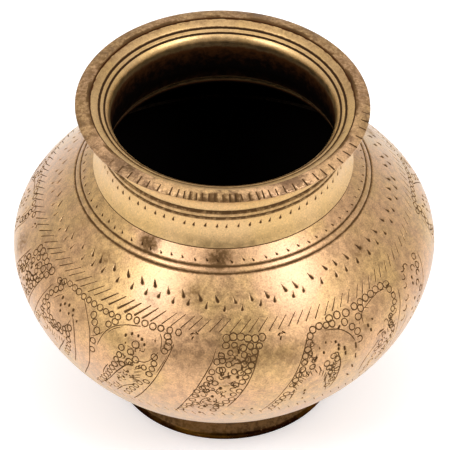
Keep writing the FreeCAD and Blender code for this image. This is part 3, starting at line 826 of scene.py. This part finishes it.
class Nodes:
    """Builds one material's nodes, with its colours in linear light."""

    def __init__(self, name, offset=None):
        self.material = bpy.data.materials.new(name)
        self.material.use_nodes = True
        self.tree = self.material.node_tree
        self.tree.nodes.clear()
        self.place = self.add("TexCoord").outputs["Object"]
        self.offset = offset

    def add(self, kind, inputs=(), **settings):
        node = self.tree.nodes.new("ShaderNode" + kind)
        for key, value in settings.items():
            setattr(node, key, value)
        for key, value in dict(inputs).items():
            if isinstance(value, bpy.types.NodeSocket):
                self.tree.links.new(value, node.inputs[key])
            else:
                node.inputs[key].default_value = value
        return node

    def noise(self, size, detail, roughness, place=None, distortion=0.0):
        """Noise with features about that many millimetres across, from 0 to 1."""
        place = place or self.place
        if self.offset:
            place = self.add("VectorMath", {0: place, 1: self.offset}, operation="ADD").outputs[0]
        inputs = {"Vector": place, "Scale": 1 / (size * MM), "Detail": detail,
                  "Roughness": roughness, "Distortion": distortion}
        return self.add("TexNoise", inputs).outputs["Fac"]

    def math(self, operation, first, second, clamp=False):
        node = self.add("Math", {0: first, 1: second}, operation=operation, use_clamp=clamp)
        return node.outputs[0]

    def between(self, value, low, high, to_low=0.0, to_high=1.0):
        """The value's place between two limits, eased, as a share or another range."""
        inputs = {"Value": value, "From Min": low, "From Max": high}
        inputs |= {"To Min": to_low, "To Max": to_high}
        node = self.add("MapRange", inputs, interpolation_type="SMOOTHSTEP")
        return node.outputs["Result"]

    def mix(self, share, first, second, blend="MIX"):
        node = self.add("Mix", data_type="RGBA", blend_type=blend)
        for key, value in zip((0, 6, 7), (share, first, second)):
            if isinstance(value, bpy.types.NodeSocket):
                self.tree.links.new(value, node.inputs[key])
            else:
                node.inputs[key].default_value = value
        return node.outputs[2]

    def attribute(self, name):
        return self.add("Attribute", attribute_name=name).outputs["Fac"]

    def stretched(self, scale, turn=0.0):
        """Coordinates scaled unevenly, so that noise in them is drawn out into streaks."""
        inputs = {"Vector": self.place, "Scale": scale, "Rotation": (0.0, turn, turn / 2)}
        return self.add("Mapping", inputs).outputs["Vector"]

    def bump(self, height, distance, strength, normal=None):
        inputs = {"Height": height, "Distance": distance * MM, "Strength": strength}
        if normal:
            inputs["Normal"] = normal
        return self.add("Bump", inputs).outputs["Normal"]

    def finish(self, colour, metallic, roughness, normal, coat=0.0, gloss=0.5):
        inputs = {"Base Color": colour, "Metallic": metallic, "Roughness": roughness}
        inputs |= {"Normal": normal, "Specular IOR Level": gloss}
        inputs |= {"Coat Weight": coat, "Coat Roughness": COAT_ROUGHNESS}
        shader = self.add("BsdfPrincipled", inputs)
        output = self.add("OutputMaterial")
        self.tree.links.new(shader.outputs[0], output.inputs[0])
        return self.material


def rgb(red, green, blue):
    return (red, green, blue, 1.0)


COAT_ROUGHNESS = 0.3

# Colours of what lies on the brass, of the shade painted inside it, and the shades that its grain
# multiplies it by.
RUST = rgb(0.200, 0.108, 0.042)
INK = rgb(0.110, 0.056, 0.020)
# A brown that paints half shade inside the pot and in the funnel, and dirt in the joints.
SHADE_AND_DIRT_BROWN = rgb(0.100, 0.032, 0.007)
PATINA = rgb(0.050, 0.024, 0.010)
# A near black that paints the deep shade inside the pot and its throat, and the tarnish there.
SHADE_AND_TARNISH_BLACK = rgb(0.0025, 0.0012, 0.0006)
STAIN = rgb(0.150, 0.075, 0.034)
DIRT_SHADE = rgb(0.36, 0.30, 0.27)
PIT_SHADE = rgb(0.38, 0.31, 0.26)
SHINE_SHADE = rgb(1.16, 1.14, 1.10)


def aged_brass(name, pink, gold, stains, patches, polish, coat, dirt, offset):
    """Old brass: two tones of metal, brown stains, fine pits and scratches, dark cuts and painted shade.

    Stains and patches say how much of the metal they cover, polish is the lowest roughness, and
    coat and dirt are how strong the lacquer and the mottled dirt are.
    """
    n = Nodes(name, offset)
    cloud = n.noise(26, 3, 0.55)
    colour = n.mix(n.between(cloud, 0.38, 0.62), pink, gold)
    mottle = n.noise(2.6, 5, 0.68)
    colour = n.mix(n.between(mottle, 0.30, 0.68, dirt, 0.0), colour, DIRT_SHADE, "MULTIPLY")
    speck = n.noise(0.75, 3, 0.6)
    colour = n.mix(n.between(speck, 0.60, 0.74, 0.0, 0.55), colour, STAIN)
    stain = n.noise(15, 6, 0.72, distortion=0.4)
    colour = n.mix(n.between(stain, 0.70 - stains, 0.82 - stains, 0.0, 0.8), colour, STAIN)
    grain = n.noise(0.55, 3, 0.65)
    colour = n.mix(n.between(grain, 0.34, 0.52, 0.7 * dirt, 0.0), colour, PIT_SHADE, "MULTIPLY")
    colour = n.mix(n.between(grain, 0.52, 0.66), colour, SHINE_SHADE, "MULTIPLY")

    patch = n.noise(9, 7, 0.7, distortion=0.6)
    patina = n.between(patch, 0.74 - patches, 0.86 - patches)
    colour = n.mix(n.math("MULTIPLY", patina, 0.85), colour, PATINA)
    # The first attribute: the dark of the cuts, stains, patina and joints, with painted shade on the foot's
    # cove and a painted dark reflection on the front of the body.
    cut = n.attribute("ink")
    broken = n.between(n.noise(1.6, 3, 0.6), 0.35, 0.65, 0.7, 1.25)
    ink = n.between(n.math("MULTIPLY", cut, broken), 0.05, 0.45)
    dye = n.mix(n.between(cut, 0.15, 0.6), RUST, INK)
    colour = n.mix(ink, colour, n.mix(n.between(cut, 0.6, 0.95), dye, PATINA))
    # The second attribute is mostly painted shade: the pot's inside, its throat and the foot's hollows go
    # brown, then near black. It also darkens the joints at the lip and behind the hoop.
    shade_and_grime = n.math("ADD", n.attribute("shade_and_grime"), n.between(mottle, 0.3, 0.7, -0.05, 0.05))
    shade_and_grime = n.between(shade_and_grime, 0.15, 0.9)
    colour = n.mix(n.between(shade_and_grime, 0.0, 0.55), colour, SHADE_AND_DIRT_BROWN)
    colour = n.mix(n.between(shade_and_grime, 0.5, 0.95), colour, SHADE_AND_TARNISH_BLACK)

    dull = n.math("MAXIMUM", n.math("MAXIMUM", ink, patina), shade_and_grime)
    metallic = n.between(dull, 0.0, 1.0, 1.0, 0.35)
    worn = n.between(mottle, 0.25, 0.75, polish, polish + 0.16)
    roughness = n.math("ADD", worn, n.math("MULTIPLY", dull, 0.3), clamp=True)
    streak = n.noise(1.4, 4, 0.6, place=n.stretched((1.0, 1.0, 7.0)))
    scratch = n.noise(0.8, 3, 0.6, place=n.stretched((0.12, 1.0, 1.0), 0.7))
    normal = n.bump(n.noise(11, 2, 0.5), 0.5, 0.35)
    normal = n.bump(n.noise(1.1, 4, 0.62), 0.10, 0.6, normal)
    normal = n.bump(streak, 0.03, 0.4, normal)
    normal = n.bump(scratch, 0.03, 0.35, normal)
    lacquer = n.between(dull, 0.0, 0.8, coat, 0.0) if coat else 0.0
    gloss = n.between(dull, 0.0, 1.0, 0.5, 0.05)
    return n.finish(colour, metallic, roughness, normal, lacquer, gloss)


def old_solder():
    """Hard solder, greyer and duller than the brass, mottled with a darker brown."""
    n = Nodes("old_solder")
    mottle = n.noise(1.8, 4, 0.6)
    colour = n.mix(n.between(mottle, 0.35, 0.65), rgb(0.16, 0.10, 0.052), rgb(0.055, 0.033, 0.018))
    roughness = n.between(mottle, 0.3, 0.7, 0.45, 0.7)
    normal = n.bump(n.noise(1.2, 3, 0.6), 0.12, 0.6)
    return n.finish(colour, 0.8, roughness, normal)


# ---------------------------------------------------------------- pieces


class Way:
    """Points along a turned section with the air on their left, and their ink, grime and painted shade."""

    def __init__(self):
        self.points, self.ink, self.shade_and_grime = [], [], []

    def go(self, points, ink=0.0, shade_and_grime=0.0):
        """Adds points. Ink, and grime with painted shade, are one value, or run evenly from a first to a
        last one.
        """
        for known, value in ((self.ink, ink), (self.shade_and_grime, shade_and_grime)):
            first, last = value if isinstance(value, tuple) else (value, value)
            known.extend(np.linspace(first, last, len(points)))
        self.points.extend(points)

    def turn_line(self, centre, bend, heading, ink, shade_and_grime=0.0):
        """Adds a round-bottomed line, darkest at its bottom."""
        points = groove(centre, bend, heading)
        self.go(points, 0.0, shade_and_grime)
        self.ink[-len(points):] = ink * (0.4 + 0.6 * np.sin(np.linspace(0, math.pi, len(points))))

    def patch(self):
        return turned_patch(self.points, np.array(self.ink), np.array(self.shade_and_grime))


# Brown stains on the body: turn, run down the outline, reach and strength. The ones from turn -9 to 17 at
# runs 40 to 46 are partly a painted dark reflection of the dark surroundings in front of the pot, laid over
# the stain there.
STAINS_AND_REFLECTION = (
    (-33, 8, 4.5, 0.46), (-2, 8.5, 5.0, 0.5), (-46, 20, 5.0, 0.28), (-10, 21.5, 5.5, 0.3),
    (53, 22, 5.0, 0.3), (-24, 26, 4.0, 0.2), (37, 50, 8.5, 0.22), (8, 44, 7.0, 0.27),
    (17, 45, 6.0, 0.25), (29, 41, 4.0, 0.26), (-9, 46, 6.5, 0.2), (-63, 18, 6.0, 0.2),
    (3, 40, 6.0, 0.3), (-1, 53, 6.0, 0.17), (-27, 54, 7.0, 0.18), (-49, 50, 6.5, 0.18),
    (33, 57, 7.0, 0.2), (42, 45, 5.0, 0.22), (23, 63, 6.0, 0.16), (-4, 67, 6.0, 0.16),
    (66, 50, 7.0, 0.18), (-72, 32, 7.0, 0.2), (-80, 44, 7.0, 0.26), (120, 24, 7.0, 0.25),
    (-140, 18, 6.0, 0.25), (170, 40, 8.0, 0.22), (-110, 45, 8.0, 0.22),
)

# The run at which the body's ornament ends and plain metal begins.
ORNAMENT_END = 80.0


def add_stains_and_reflection(patch, outline):
    """Adds the brown stains, and the painted dark reflection among them, to a patch's ink."""
    for turn, run, reach, strength in STAINS_AND_REFLECTION:
        centre = solid_points(np.array([turn]), *(np.array([v]) for v in outline.place(run)))
        gap = np.linalg.norm(patch.points - centre, axis=1)
        patch.ink = np.maximum(patch.ink, strength * np.exp(-((gap / reach) ** 2)))


def body_pieces(material):
    """The engraved shoulder and bowl, which meet at the belly's widest line."""
    shoulder_start = OUTLINE_ARCS["shoulder"][1]
    belly_start = OUTLINE_ARCS["belly"][1]
    lower_start = OUTLINE_ARCS["lower"][1]
    base_start = OUTLINE_ARCS["base"][1]
    heel_start = OUTLINE_ARCS["heel"][1]
    middle = WALL / 2

    above = wall_arc("shoulder", shoulder_start, belly_start) + wall_arc("belly", belly_start, 1.0)
    below = wall_arc("belly", SEAM_NORMAL, lower_start) + wall_arc("lower", lower_start, base_start)
    below += wall_arc("base", base_start, heel_start)
    outline = Outline(above + below)
    seam = seam_run(outline)
    band_end = float(outline.run[np.searchsorted(outline.run, ORNAMENT_END)])
    band = engraved_patch(outline, (0.0, band_end), body_engraving(outline))
    add_stains_and_reflection(band, outline)
    middles = np.array([band.points[list(face)].mean(0)[2] for face in band.faces])
    seam_height = outline.place(seam)[1]
    upper = keep_faces(band, middles > seam_height)
    lower = keep_faces(band, middles < seam_height)

    mouth = outline.points[0]
    mouth_facing = at_radius("shoulder", mouth[0], WALL)
    # Painted shade: the shell's inside is painted near black.
    ceiling = Way()
    ceiling.go([facing("belly", SEAM_NORMAL)])
    ceiling.go(wall_arc("belly", SEAM_NORMAL, LAP_NORMAL, middle), shade_and_grime=1.0)
    ceiling.go(wall_arc("belly", LAP_NORMAL + BEAD_SPREAD, belly_start, WALL), shade_and_grime=1.0)
    ceiling.go(wall_arc("shoulder", belly_start, mouth_facing, WALL)[1:], shade_and_grime=1.0)
    ceiling.go([mouth])
    piece("engraved_shoulder", [upper, ceiling.patch()], material, "shoulder_shell")

    flat = facing("heel", STRAIGHT_DOWN)
    skirt = Way()
    skirt.go([p for p, run in zip(outline.points, outline.run) if run >= band_end - SAME_RUN])
    skirt.go(wall_arc("heel", heel_start, STRAIGHT_DOWN)[1:])
    skirt.go(straight(flat, (0.0, flat[1]), FLAT_STEP)[1:])
    # Painted shade: the bowl's inside is painted near black.
    lining = Way()
    lining.go(straight((0.0, flat[1] + WALL), (flat[0], flat[1] + WALL), FLAT_STEP), shade_and_grime=1.0)
    lining.go(wall_arc("heel", STRAIGHT_DOWN, heel_start, WALL)[1:], shade_and_grime=1.0)
    lining.go(wall_arc("base", heel_start, base_start, WALL)[1:], shade_and_grime=1.0)
    lining.go(wall_arc("lower", base_start, lower_start, WALL)[1:], shade_and_grime=1.0)
    lining.go(wall_arc("belly", lower_start, LAP_NORMAL - BEAD_SPREAD, WALL)[1:], shade_and_grime=1.0)
    lining.go(wall_arc("belly", LAP_NORMAL, SEAM_NORMAL, middle), shade_and_grime=1.0)
    lining.go([facing("belly", SEAM_NORMAL)])
    patches = [lower, skirt.patch(), lining.patch()]
    piece("engraved_bowl", patches, material, "bowl_shell")


# The neck's sizes, as on the CAD sheet: radii, heights and bends. A line is a height and a bend.
NECK_FOOT_RADIUS = 46.2
NECK_FOOT_RISE = 0.6
NECK_RADIUS = 43.2
NECK_LOW = 109.5
NECK_HIGH = 115.4
NECK_LINES = ((113.3, 0.9), (110.6, 0.7))
LIP_LOW = 123.9
LIP_HOLLOW = 12.0
FLARE = 17.0
BORE_FOOT = (41.0, 103.3)
BORE_RADIUS = 39.6
BORE_LOW = 109.0
BORE_HIGH = 121.2
THROAT_BEND = 3.6
FUNNEL_FOOT = (41.5, 123.8)
FUNNEL_LINE_RADIUS = 43.35
FUNNEL_LINE_BEND = 0.42
LOW_BEAD = 2.4
HIGH_BEAD = 5.0

# How far in from the lip's edge its worn border begins.
INNER_LIP = 0.35

# The punch marks on the neck: how far apart in degrees, and how far down the flare.
NECK_PUNCH_STEP = 5.05
NECK_PUNCH_SHARE = 0.17


def neck_punches(outline):
    """The row of slanting punch marks around the neck's flare."""
    neck = Engraver(outline, 5)
    run = outline.run[-1] * NECK_PUNCH_SHARE
    for turn in np.arange(0, FULL_TURN, NECK_PUNCH_STEP):
        place = neck.about(turn, 0.5) - HALF_TURN, neck.about(run, 0.2)
        neck.wedge(place, -0.35, 1.4, broad=neck.about(0.66, 0.1), depth=0.4)
    return neck.cuts


def lighten_funnel_front(patch):
    """The funnel's grime and painted shade fade out towards the front."""
    turn = np.degrees(np.arctan2(patch.points[:, 0], -patch.points[:, 1]))
    share = np.clip((abs(turn) - 55) / 45, 0, 1)
    funnel = patch.points[:, 2] > FUNNEL_FOOT[1]
    patch.shade_and_grime = np.where(funnel, patch.shade_and_grime * share, patch.shade_and_grime)


def neck_piece(material):
    """The neck, with its turned lines, punch marks and funnel."""
    lip_radius, lip_top = high_mm("neck_collar").x, high_mm("neck_collar").z
    foot_facing = at_radius("shoulder", NECK_FOOT_RADIUS)
    foot = facing("shoulder", foot_facing)
    foot_top = foot + [0, NECK_FOOT_RISE]
    mouth_facing = OUTLINE_ARCS["shoulder"][1]

    outside = Way()
    outside.go([(lip_radius, lip_top), (lip_radius, LIP_LOW)], 0.6)
    outside.go(hollow((lip_radius, LIP_LOW), (NECK_RADIUS, NECK_HIGH), LIP_HOLLOW)[1:], (0.35, 0.0))
    for height, bend in NECK_LINES:
        outside.turn_line((NECK_RADIUS, height), bend, STRAIGHT_DOWN, 0.5)
    outside.go([(NECK_RADIUS, NECK_LOW)])
    flare = Outline(hollow((NECK_RADIUS, NECK_LOW), foot_top, FLARE))
    punched = engraved_patch(flare, (0.0, float(flare.run[-1])), neck_punches(flare))

    inside = Way()
    inside.go([foot_top])
    inside.go([foot_top - [0, 0.12], foot], 0.6)
    inside.go(wall_arc("shoulder", foot_facing, mouth_facing)[1:], 1.0)
    # Painted shade: the bore is near black low in the throat and lighter upwards, the funnel gets a lighter
    # shade, and the joint at the lip's edge is dark.
    rise = straight(BORE_FOOT, (BORE_RADIUS, BORE_LOW), 0.4)
    inside.go(rise[:2])
    inside.go(rise[2:], 0.0, (0.72, 0.8))
    bore = straight((BORE_RADIUS, BORE_LOW), (BORE_RADIUS, BORE_HIGH), 1.0)
    inside.go(bore[1:-4], 0.0, (0.8, 0.66))
    inside.go(bore[-4:], 0.0, (0.6, 0.2))
    inside.go(bulge((BORE_RADIUS, BORE_HIGH), FUNNEL_FOOT, THROAT_BEND)[1:-1], 0.0, (0.16, 0.08))
    slope = (lip_top - FUNNEL_FOOT[1]) / (lip_radius - FUNNEL_FOOT[0])
    heading = math.degrees(math.atan(slope))
    line_height = FUNNEL_FOOT[1] + (FUNNEL_LINE_RADIUS - FUNNEL_FOOT[0]) * slope
    middle = (FUNNEL_LINE_RADIUS, line_height)
    step = FUNNEL_LINE_BEND * unit(heading)
    inner_lip = (lip_radius - INNER_LIP, lip_top - INNER_LIP * slope)
    inside.turn_line(FUNNEL_FOOT, FUNNEL_LINE_BEND, heading, 1.0)
    inside.go(bulge(FUNNEL_FOOT + step, middle - step, LOW_BEAD)[1:-1], 0.0, 0.34)
    inside.turn_line(middle, FUNNEL_LINE_BEND, heading, 1.0)
    inside.go(bulge(middle + step, inner_lip, HIGH_BEAD)[1:], 0.0, (0.34, 0.4))
    inside.go([(lip_radius, lip_top)], 0.9, 0.6)
    throat = inside.patch()
    lighten_funnel_front(throat)
    patches = [outside.patch(), punched, throat]
    piece("turned_neck", patches, material, "neck_collar")


# The hoop's sizes, as on the CAD sheet.
HOOP_BEVEL = 0.5
HOOP_CROWN = (51.3, 126.2)
HOOP_CROWN_BEND = 12.0
HOOP_EDGE_HIGH = 125.75
HOOP_EDGE_BEND = 0.6
HOOP_LOW_BEND = 0.5

# How far apart the hoop's nicks are at a turn, and how deep: close together at the front, bold
# on the right, worn away on the left and nearly so at the back.
NICK_PLACES = ((-180, 7.0, 0.0), (-95, 6.5, 0.0), (-55, 5.5, 0.06), (-45, 5.0, 0.16),
               (-24, 4.6, 0.18), (-19, 2.6, 0.16), (20, 2.7, 0.17), (27, 4.7, 0.24),
               (78, 5.0, 0.24), (92, 6.0, 0.05), (105, 7.0, 0.0), (180, 7.0, 0.0))
NICK_LEAST = 0.02
NICK_MIDDLE = 3.6
NICK_LENGTH = 2.9

# How brown the whole hoop is at a turn.
HOOP_BROWN = ((-180, -80, -45, -30, 22, 60, 95, 180),
              (0.26, 0.29, 0.17, 0.04, 0.0, 0.09, 0.28, 0.26))


def hoop_nicks(outline):
    """The worn nicks across the hoop's top and edge."""
    hoop = Engraver(outline, 23)
    turns, spacings, depths = zip(*NICK_PLACES)
    turn = -HALF_TURN
    while turn < HALF_TURN:
        depth = float(np.interp(turn, turns, depths))
        place = turn, hoop.about(NICK_MIDDLE, 0.25)
        half_width = 0.2 + 1.1 * depth
        ink = min(hoop.about(6 * depth, 0.15), 1.0)
        lean, length = hoop.about(0.15, 0.25), hoop.about(NICK_LENGTH, 0.6)
        ends = hoop.near(place, -lean / 2, -length / 2), hoop.near(place, lean / 2, length / 2)
        if depth > NICK_LEAST:
            hoop.cut(ends, (0.8 * half_width, half_width), depth, ink)
        turn += hoop.about(float(np.interp(turn, turns, spacings)), 0.7)
    return hoop.cuts


def hoop_patina(patch):
    """Brown patina: ragged on the front, along the edge on the left, and thin at the back."""
    turn = np.degrees(np.arctan2(patch.points[:, 0], -patch.points[:, 1]))
    radius = np.hypot(*patch.points[:, :2].T)
    ragged = 0.6 + 0.5 * np.sin(2.3 * turn) * np.sin(0.9 * turn + 1)
    front = 0.62 * ragged * np.exp(-((turn / 17) ** 2)) * np.clip((radius - 47.8) / 1.2, 0, 1)
    left = 0.22 * np.exp(-(((turn + 28) / 40) ** 2)) * np.clip((radius - 50.6) / 0.8, 0, 1)
    back = np.interp(turn, HOOP_BROWN[0], HOOP_BROWN[1])
    angle = np.radians(turn)
    broken = 0.45 + 0.25 * np.sin(7.3 * angle + 1) + 0.2 * np.sin(17.9 * angle)
    seam = broken * np.clip((47.4 - radius) / 0.3, 0, 1) * np.clip((abs(turn) - 35) / 25, 0, 1)
    patch.ink = np.maximum.reduce([patch.ink, front + left, back, seam])


def hoop_piece(material):
    """The hoop around the lip, with a convex top."""
    lip_radius = high_mm("neck_collar").x
    low, radius, top = low_mm("rim_hoop").z, high_mm("rim_hoop").x, high_mm("rim_hoop").z
    crest = (lip_radius + HOOP_BEVEL, top)
    corner = (radius - HOOP_LOW_BEND, low)
    way = bulge(crest, HOOP_CROWN, HOOP_CROWN_BEND)
    way += bulge(HOOP_CROWN, (radius, HOOP_EDGE_HIGH), HOOP_EDGE_BEND)
    way += bulge((radius, low + HOOP_LOW_BEND), corner, HOOP_LOW_BEND)
    outline = Outline(way)
    nicked = engraved_patch(outline, (0.0, float(outline.run[-1])), hoop_nicks(outline))
    hoop_patina(nicked)
    back = Way()
    back.go([corner, (lip_radius, low)], 0.3)
    back.go([(lip_radius, low), (lip_radius, top - HOOP_BEVEL)], 0.9, 0.8)
    back.go([crest], 0.2)
    rear = back.patch()
    hoop_patina(rear)
    piece("nicked_hoop", [nicked, rear], material, "rim_hoop")


RIM_SOLDER_BEND = 3.6


def rim_solder_piece(material):
    """The solder in the corner under the hoop, which leans with it."""
    lip_radius = high_mm("neck_collar").x
    low, high = low_mm("rim_solder").z, high_mm("rim_solder")
    way = Way()
    way.go([(lip_radius, low), (lip_radius, high.z), (high.x, high.z)])
    way.go(hollow((high.x, high.z), (lip_radius, low), RIM_SOLDER_BEND)[1:])
    piece("hoop_solder", [way.patch()], material, "rim_solder")


# The foot's sizes, as on the CAD sheet.
FOOT_BORE = 37.6
FOOT_SEAT_INNER = 38.7
FOOT_RADIUS = 41.0
FOOT_BEAD = (40.4, 2.4)
FOOT_BEAD_BEND = 1.8
FOOT_COVE = 9.5


def foot_piece(material):
    """The foot ring: a bead on the ground, a cove above it and a seat under the bowl."""
    seat_radius = high_mm("foot_ring").x
    facings = [-at_radius("base", radius) for radius in (seat_radius, FOOT_SEAT_INNER)]
    seat, seat_inner = (facing("base", angle) for angle in facings)
    way = Way()
    # The cove is darker towards the bowl above it, partly patina and partly painted shade. The bore and
    # seat below are darkened with painted shade.
    way.go(hollow(seat, FOOT_BEAD, FOOT_COVE), (0.5, 0.25))
    way.go(bulge(FOOT_BEAD, (FOOT_RADIUS, 0.0), FOOT_BEAD_BEND)[1:], (0.1, 0.0))
    way.go([(FOOT_BORE, 0.0), seat_inner], 0.0, (0.3, 0.6))
    way.go(wall_arc("base", *reversed(facings))[1:], 0.0, 0.6)
    piece("turned_foot", [way.patch()], material, "foot_ring")


def dress_solder(material):
    """The solder keeps its own shape and gets its own finish."""
    for node in ("neck_solder", "belly_solder", "foot_solder"):
        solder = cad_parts[node]
        solder.data.materials.clear()
        solder.data.materials.append(material)


# ---------------------------------------------------------------- stage, light and camera


MATT = 0.9


def plain_material(name, colour, roughness):
    material = bpy.data.materials.new(name)
    material.use_nodes = True
    shader = material.node_tree.nodes["Principled BSDF"]
    shader.inputs["Base Color"].default_value = colour
    shader.inputs["Roughness"].default_value = roughness
    return material


def panel(name, corners, material):
    """A flat four-cornered stage object, in metres."""
    mesh = bpy.data.meshes.new(name)
    mesh.from_pydata(corners, [], [(0, 1, 2, 3)])
    mesh.materials.append(material)
    made = bpy.data.objects.new(name, mesh)
    bpy.context.scene.collection.objects.link(made)
    return made


def studio_floor():
    """A wide white floor with a little light of its own, so its shadows stay faint."""
    reach = 4.0
    white = plain_material("floor_white", rgb(0.9, 0.9, 0.9), MATT)
    shader = white.node_tree.nodes["Principled BSDF"]
    shader.inputs["Emission Color"].default_value = rgb(1.0, 1.0, 1.0)
    shader.inputs["Emission Strength"].default_value = 0.32
    corners = [(-reach, -reach, 0), (reach, -reach, 0), (reach, reach, 0), (-reach, reach, 0)]
    panel("studio_floor", corners, white)


def dark_screen():
    """A dark screen behind the camera. The pot reflects it between the two soft boxes."""
    away, wide, low, tall = 1.6, 1.1, 0.4, 1.8
    black = plain_material("screen_dark", rgb(0.07, 0.055, 0.04), MATT)
    corners = [(-wide, -away, low), (wide, -away, low), (wide, -away, tall), (-wide, -away, tall)]
    screen = panel("dark_screen", corners, black)
    screen.visible_camera = False
    screen.visible_shadow = False


POT_MIDDLE = Vector((0, 0, (CAD_BOX[0].z + CAD_BOX[1].z) / 2))
WHITE = (1.0, 1.0, 1.0)
COOL_WHITE = (0.98, 1.02, 1.14)


def soft_box(name, azimuth, elevation, distance, size, power, colour):
    """A soft light aimed at the pot. Azimuth is measured from the front, towards +X."""
    light = bpy.data.lights.new(name, "AREA")
    light.shape = "RECTANGLE"
    light.size, light.size_y = size
    light.energy = power
    light.color = colour
    made = bpy.data.objects.new(name, light)
    flat = distance * math.cos(math.radians(elevation))
    turn = math.radians(azimuth)
    rise = distance * math.sin(math.radians(elevation))
    away = Vector((flat * math.sin(turn), -flat * math.cos(turn), rise))
    made.location = POT_MIDDLE + away
    made.rotation_euler = (-away).to_track_quat("-Z", "Y").to_euler()
    bpy.context.scene.collection.objects.link(made)


def studio_light():
    """Two soft boxes from the front left and right, one from above, and an even surround."""
    soft_box("soft_left", -50, 46, 1.3, (0.36, 0.42), 5.4, COOL_WHITE)
    soft_box("soft_right", 52, 47, 1.3, (0.38, 0.42), 5.8, COOL_WHITE)
    soft_box("soft_above", 180, 75, 1.6, (1.2, 1.2), 4, WHITE)
    world = bpy.data.worlds.new("studio_surround")
    world.use_nodes = True
    surround = world.node_tree.nodes["Background"]
    surround.inputs["Color"].default_value = rgb(1.0, 0.99, 0.97)
    surround.inputs["Strength"].default_value = 0.75
    bpy.context.scene.world = world
    bpy.context.scene.view_settings.view_transform = "Standard"


CAMERA_PITCH = 42.531
CAMERA_ROLL = 0.61
CAMERA_PLACE = (0, -1.0613, 1.0417)


def studio_camera():
    """A long lens looking down at the pot, turned a little about its own axis."""
    pitch, roll = math.radians(CAMERA_PITCH), math.radians(CAMERA_ROLL)
    camera = bpy.data.cameras.new("camera")
    camera.lens = 320
    camera.sensor_width = 36
    camera.shift_x = 0.0023
    made = bpy.data.objects.new("camera", camera)
    forward = Vector((0, math.cos(pitch), -math.sin(pitch)))
    right, up = Vector((1, 0, 0)), Vector((0, math.sin(pitch), math.cos(pitch)))
    rolled_right = right * math.cos(roll) - up * math.sin(roll)
    rolled_up = right * math.sin(roll) + up * math.cos(roll)
    turn = Matrix((rolled_right, rolled_up, -forward)).transposed()
    made.matrix_world = Matrix.Translation(CAMERA_PLACE) @ turn.to_4x4()
    bpy.context.scene.collection.objects.link(made)
    bpy.context.scene.camera = made


body_brass = aged_brass(
    "body_brass", pink=rgb(0.70, 0.41, 0.195), gold=rgb(0.69, 0.43, 0.165), stains=0.06,
    patches=0.0, polish=0.36, coat=0.7, dirt=0.56, offset=(0.0, 0.0, 0.0),
)
neck_brass = aged_brass(
    "neck_brass", pink=rgb(0.74, 0.48, 0.215), gold=rgb(0.72, 0.465, 0.185), stains=0.05,
    patches=0.0, polish=0.34, coat=0.4, dirt=0.22, offset=(0.3, 0.1, 0.0),
)
rim_brass = aged_brass(
    "rim_brass", pink=rgb(0.80, 0.49, 0.26), gold=rgb(0.76, 0.48, 0.21), stains=0.2,
    patches=0.14, polish=0.32, coat=0.3, dirt=0.62, offset=(0.7, 0.2, 0.1),
)
# The foot's near-black metal is partly its dark patina and partly painted shade, for the little light that
# reaches its cove.
foot_brass = aged_brass(
    "foot_brass", pink=rgb(0.012, 0.003, 0.0004), gold=rgb(0.090, 0.040, 0.005), stains=-0.1,
    patches=0.0, polish=0.24, coat=0.0, dirt=0.3, offset=(0.1, 0.5, 0.2),
)
# A brown specular tint: painted shade that keeps the floor's light out of the foot's edges.
foot_shader = foot_brass.node_tree.nodes["Principled BSDF"]
foot_shader.inputs["Specular Tint"].default_value = rgb(0.30, 0.14, 0.04)
body_pieces(body_brass)
neck_piece(neck_brass)
hoop_piece(rim_brass)
foot_piece(foot_brass)
solder = old_solder()
rim_solder_piece(solder)
dress_solder(solder)
studio_floor()
dark_screen()
studio_light()
studio_camera()
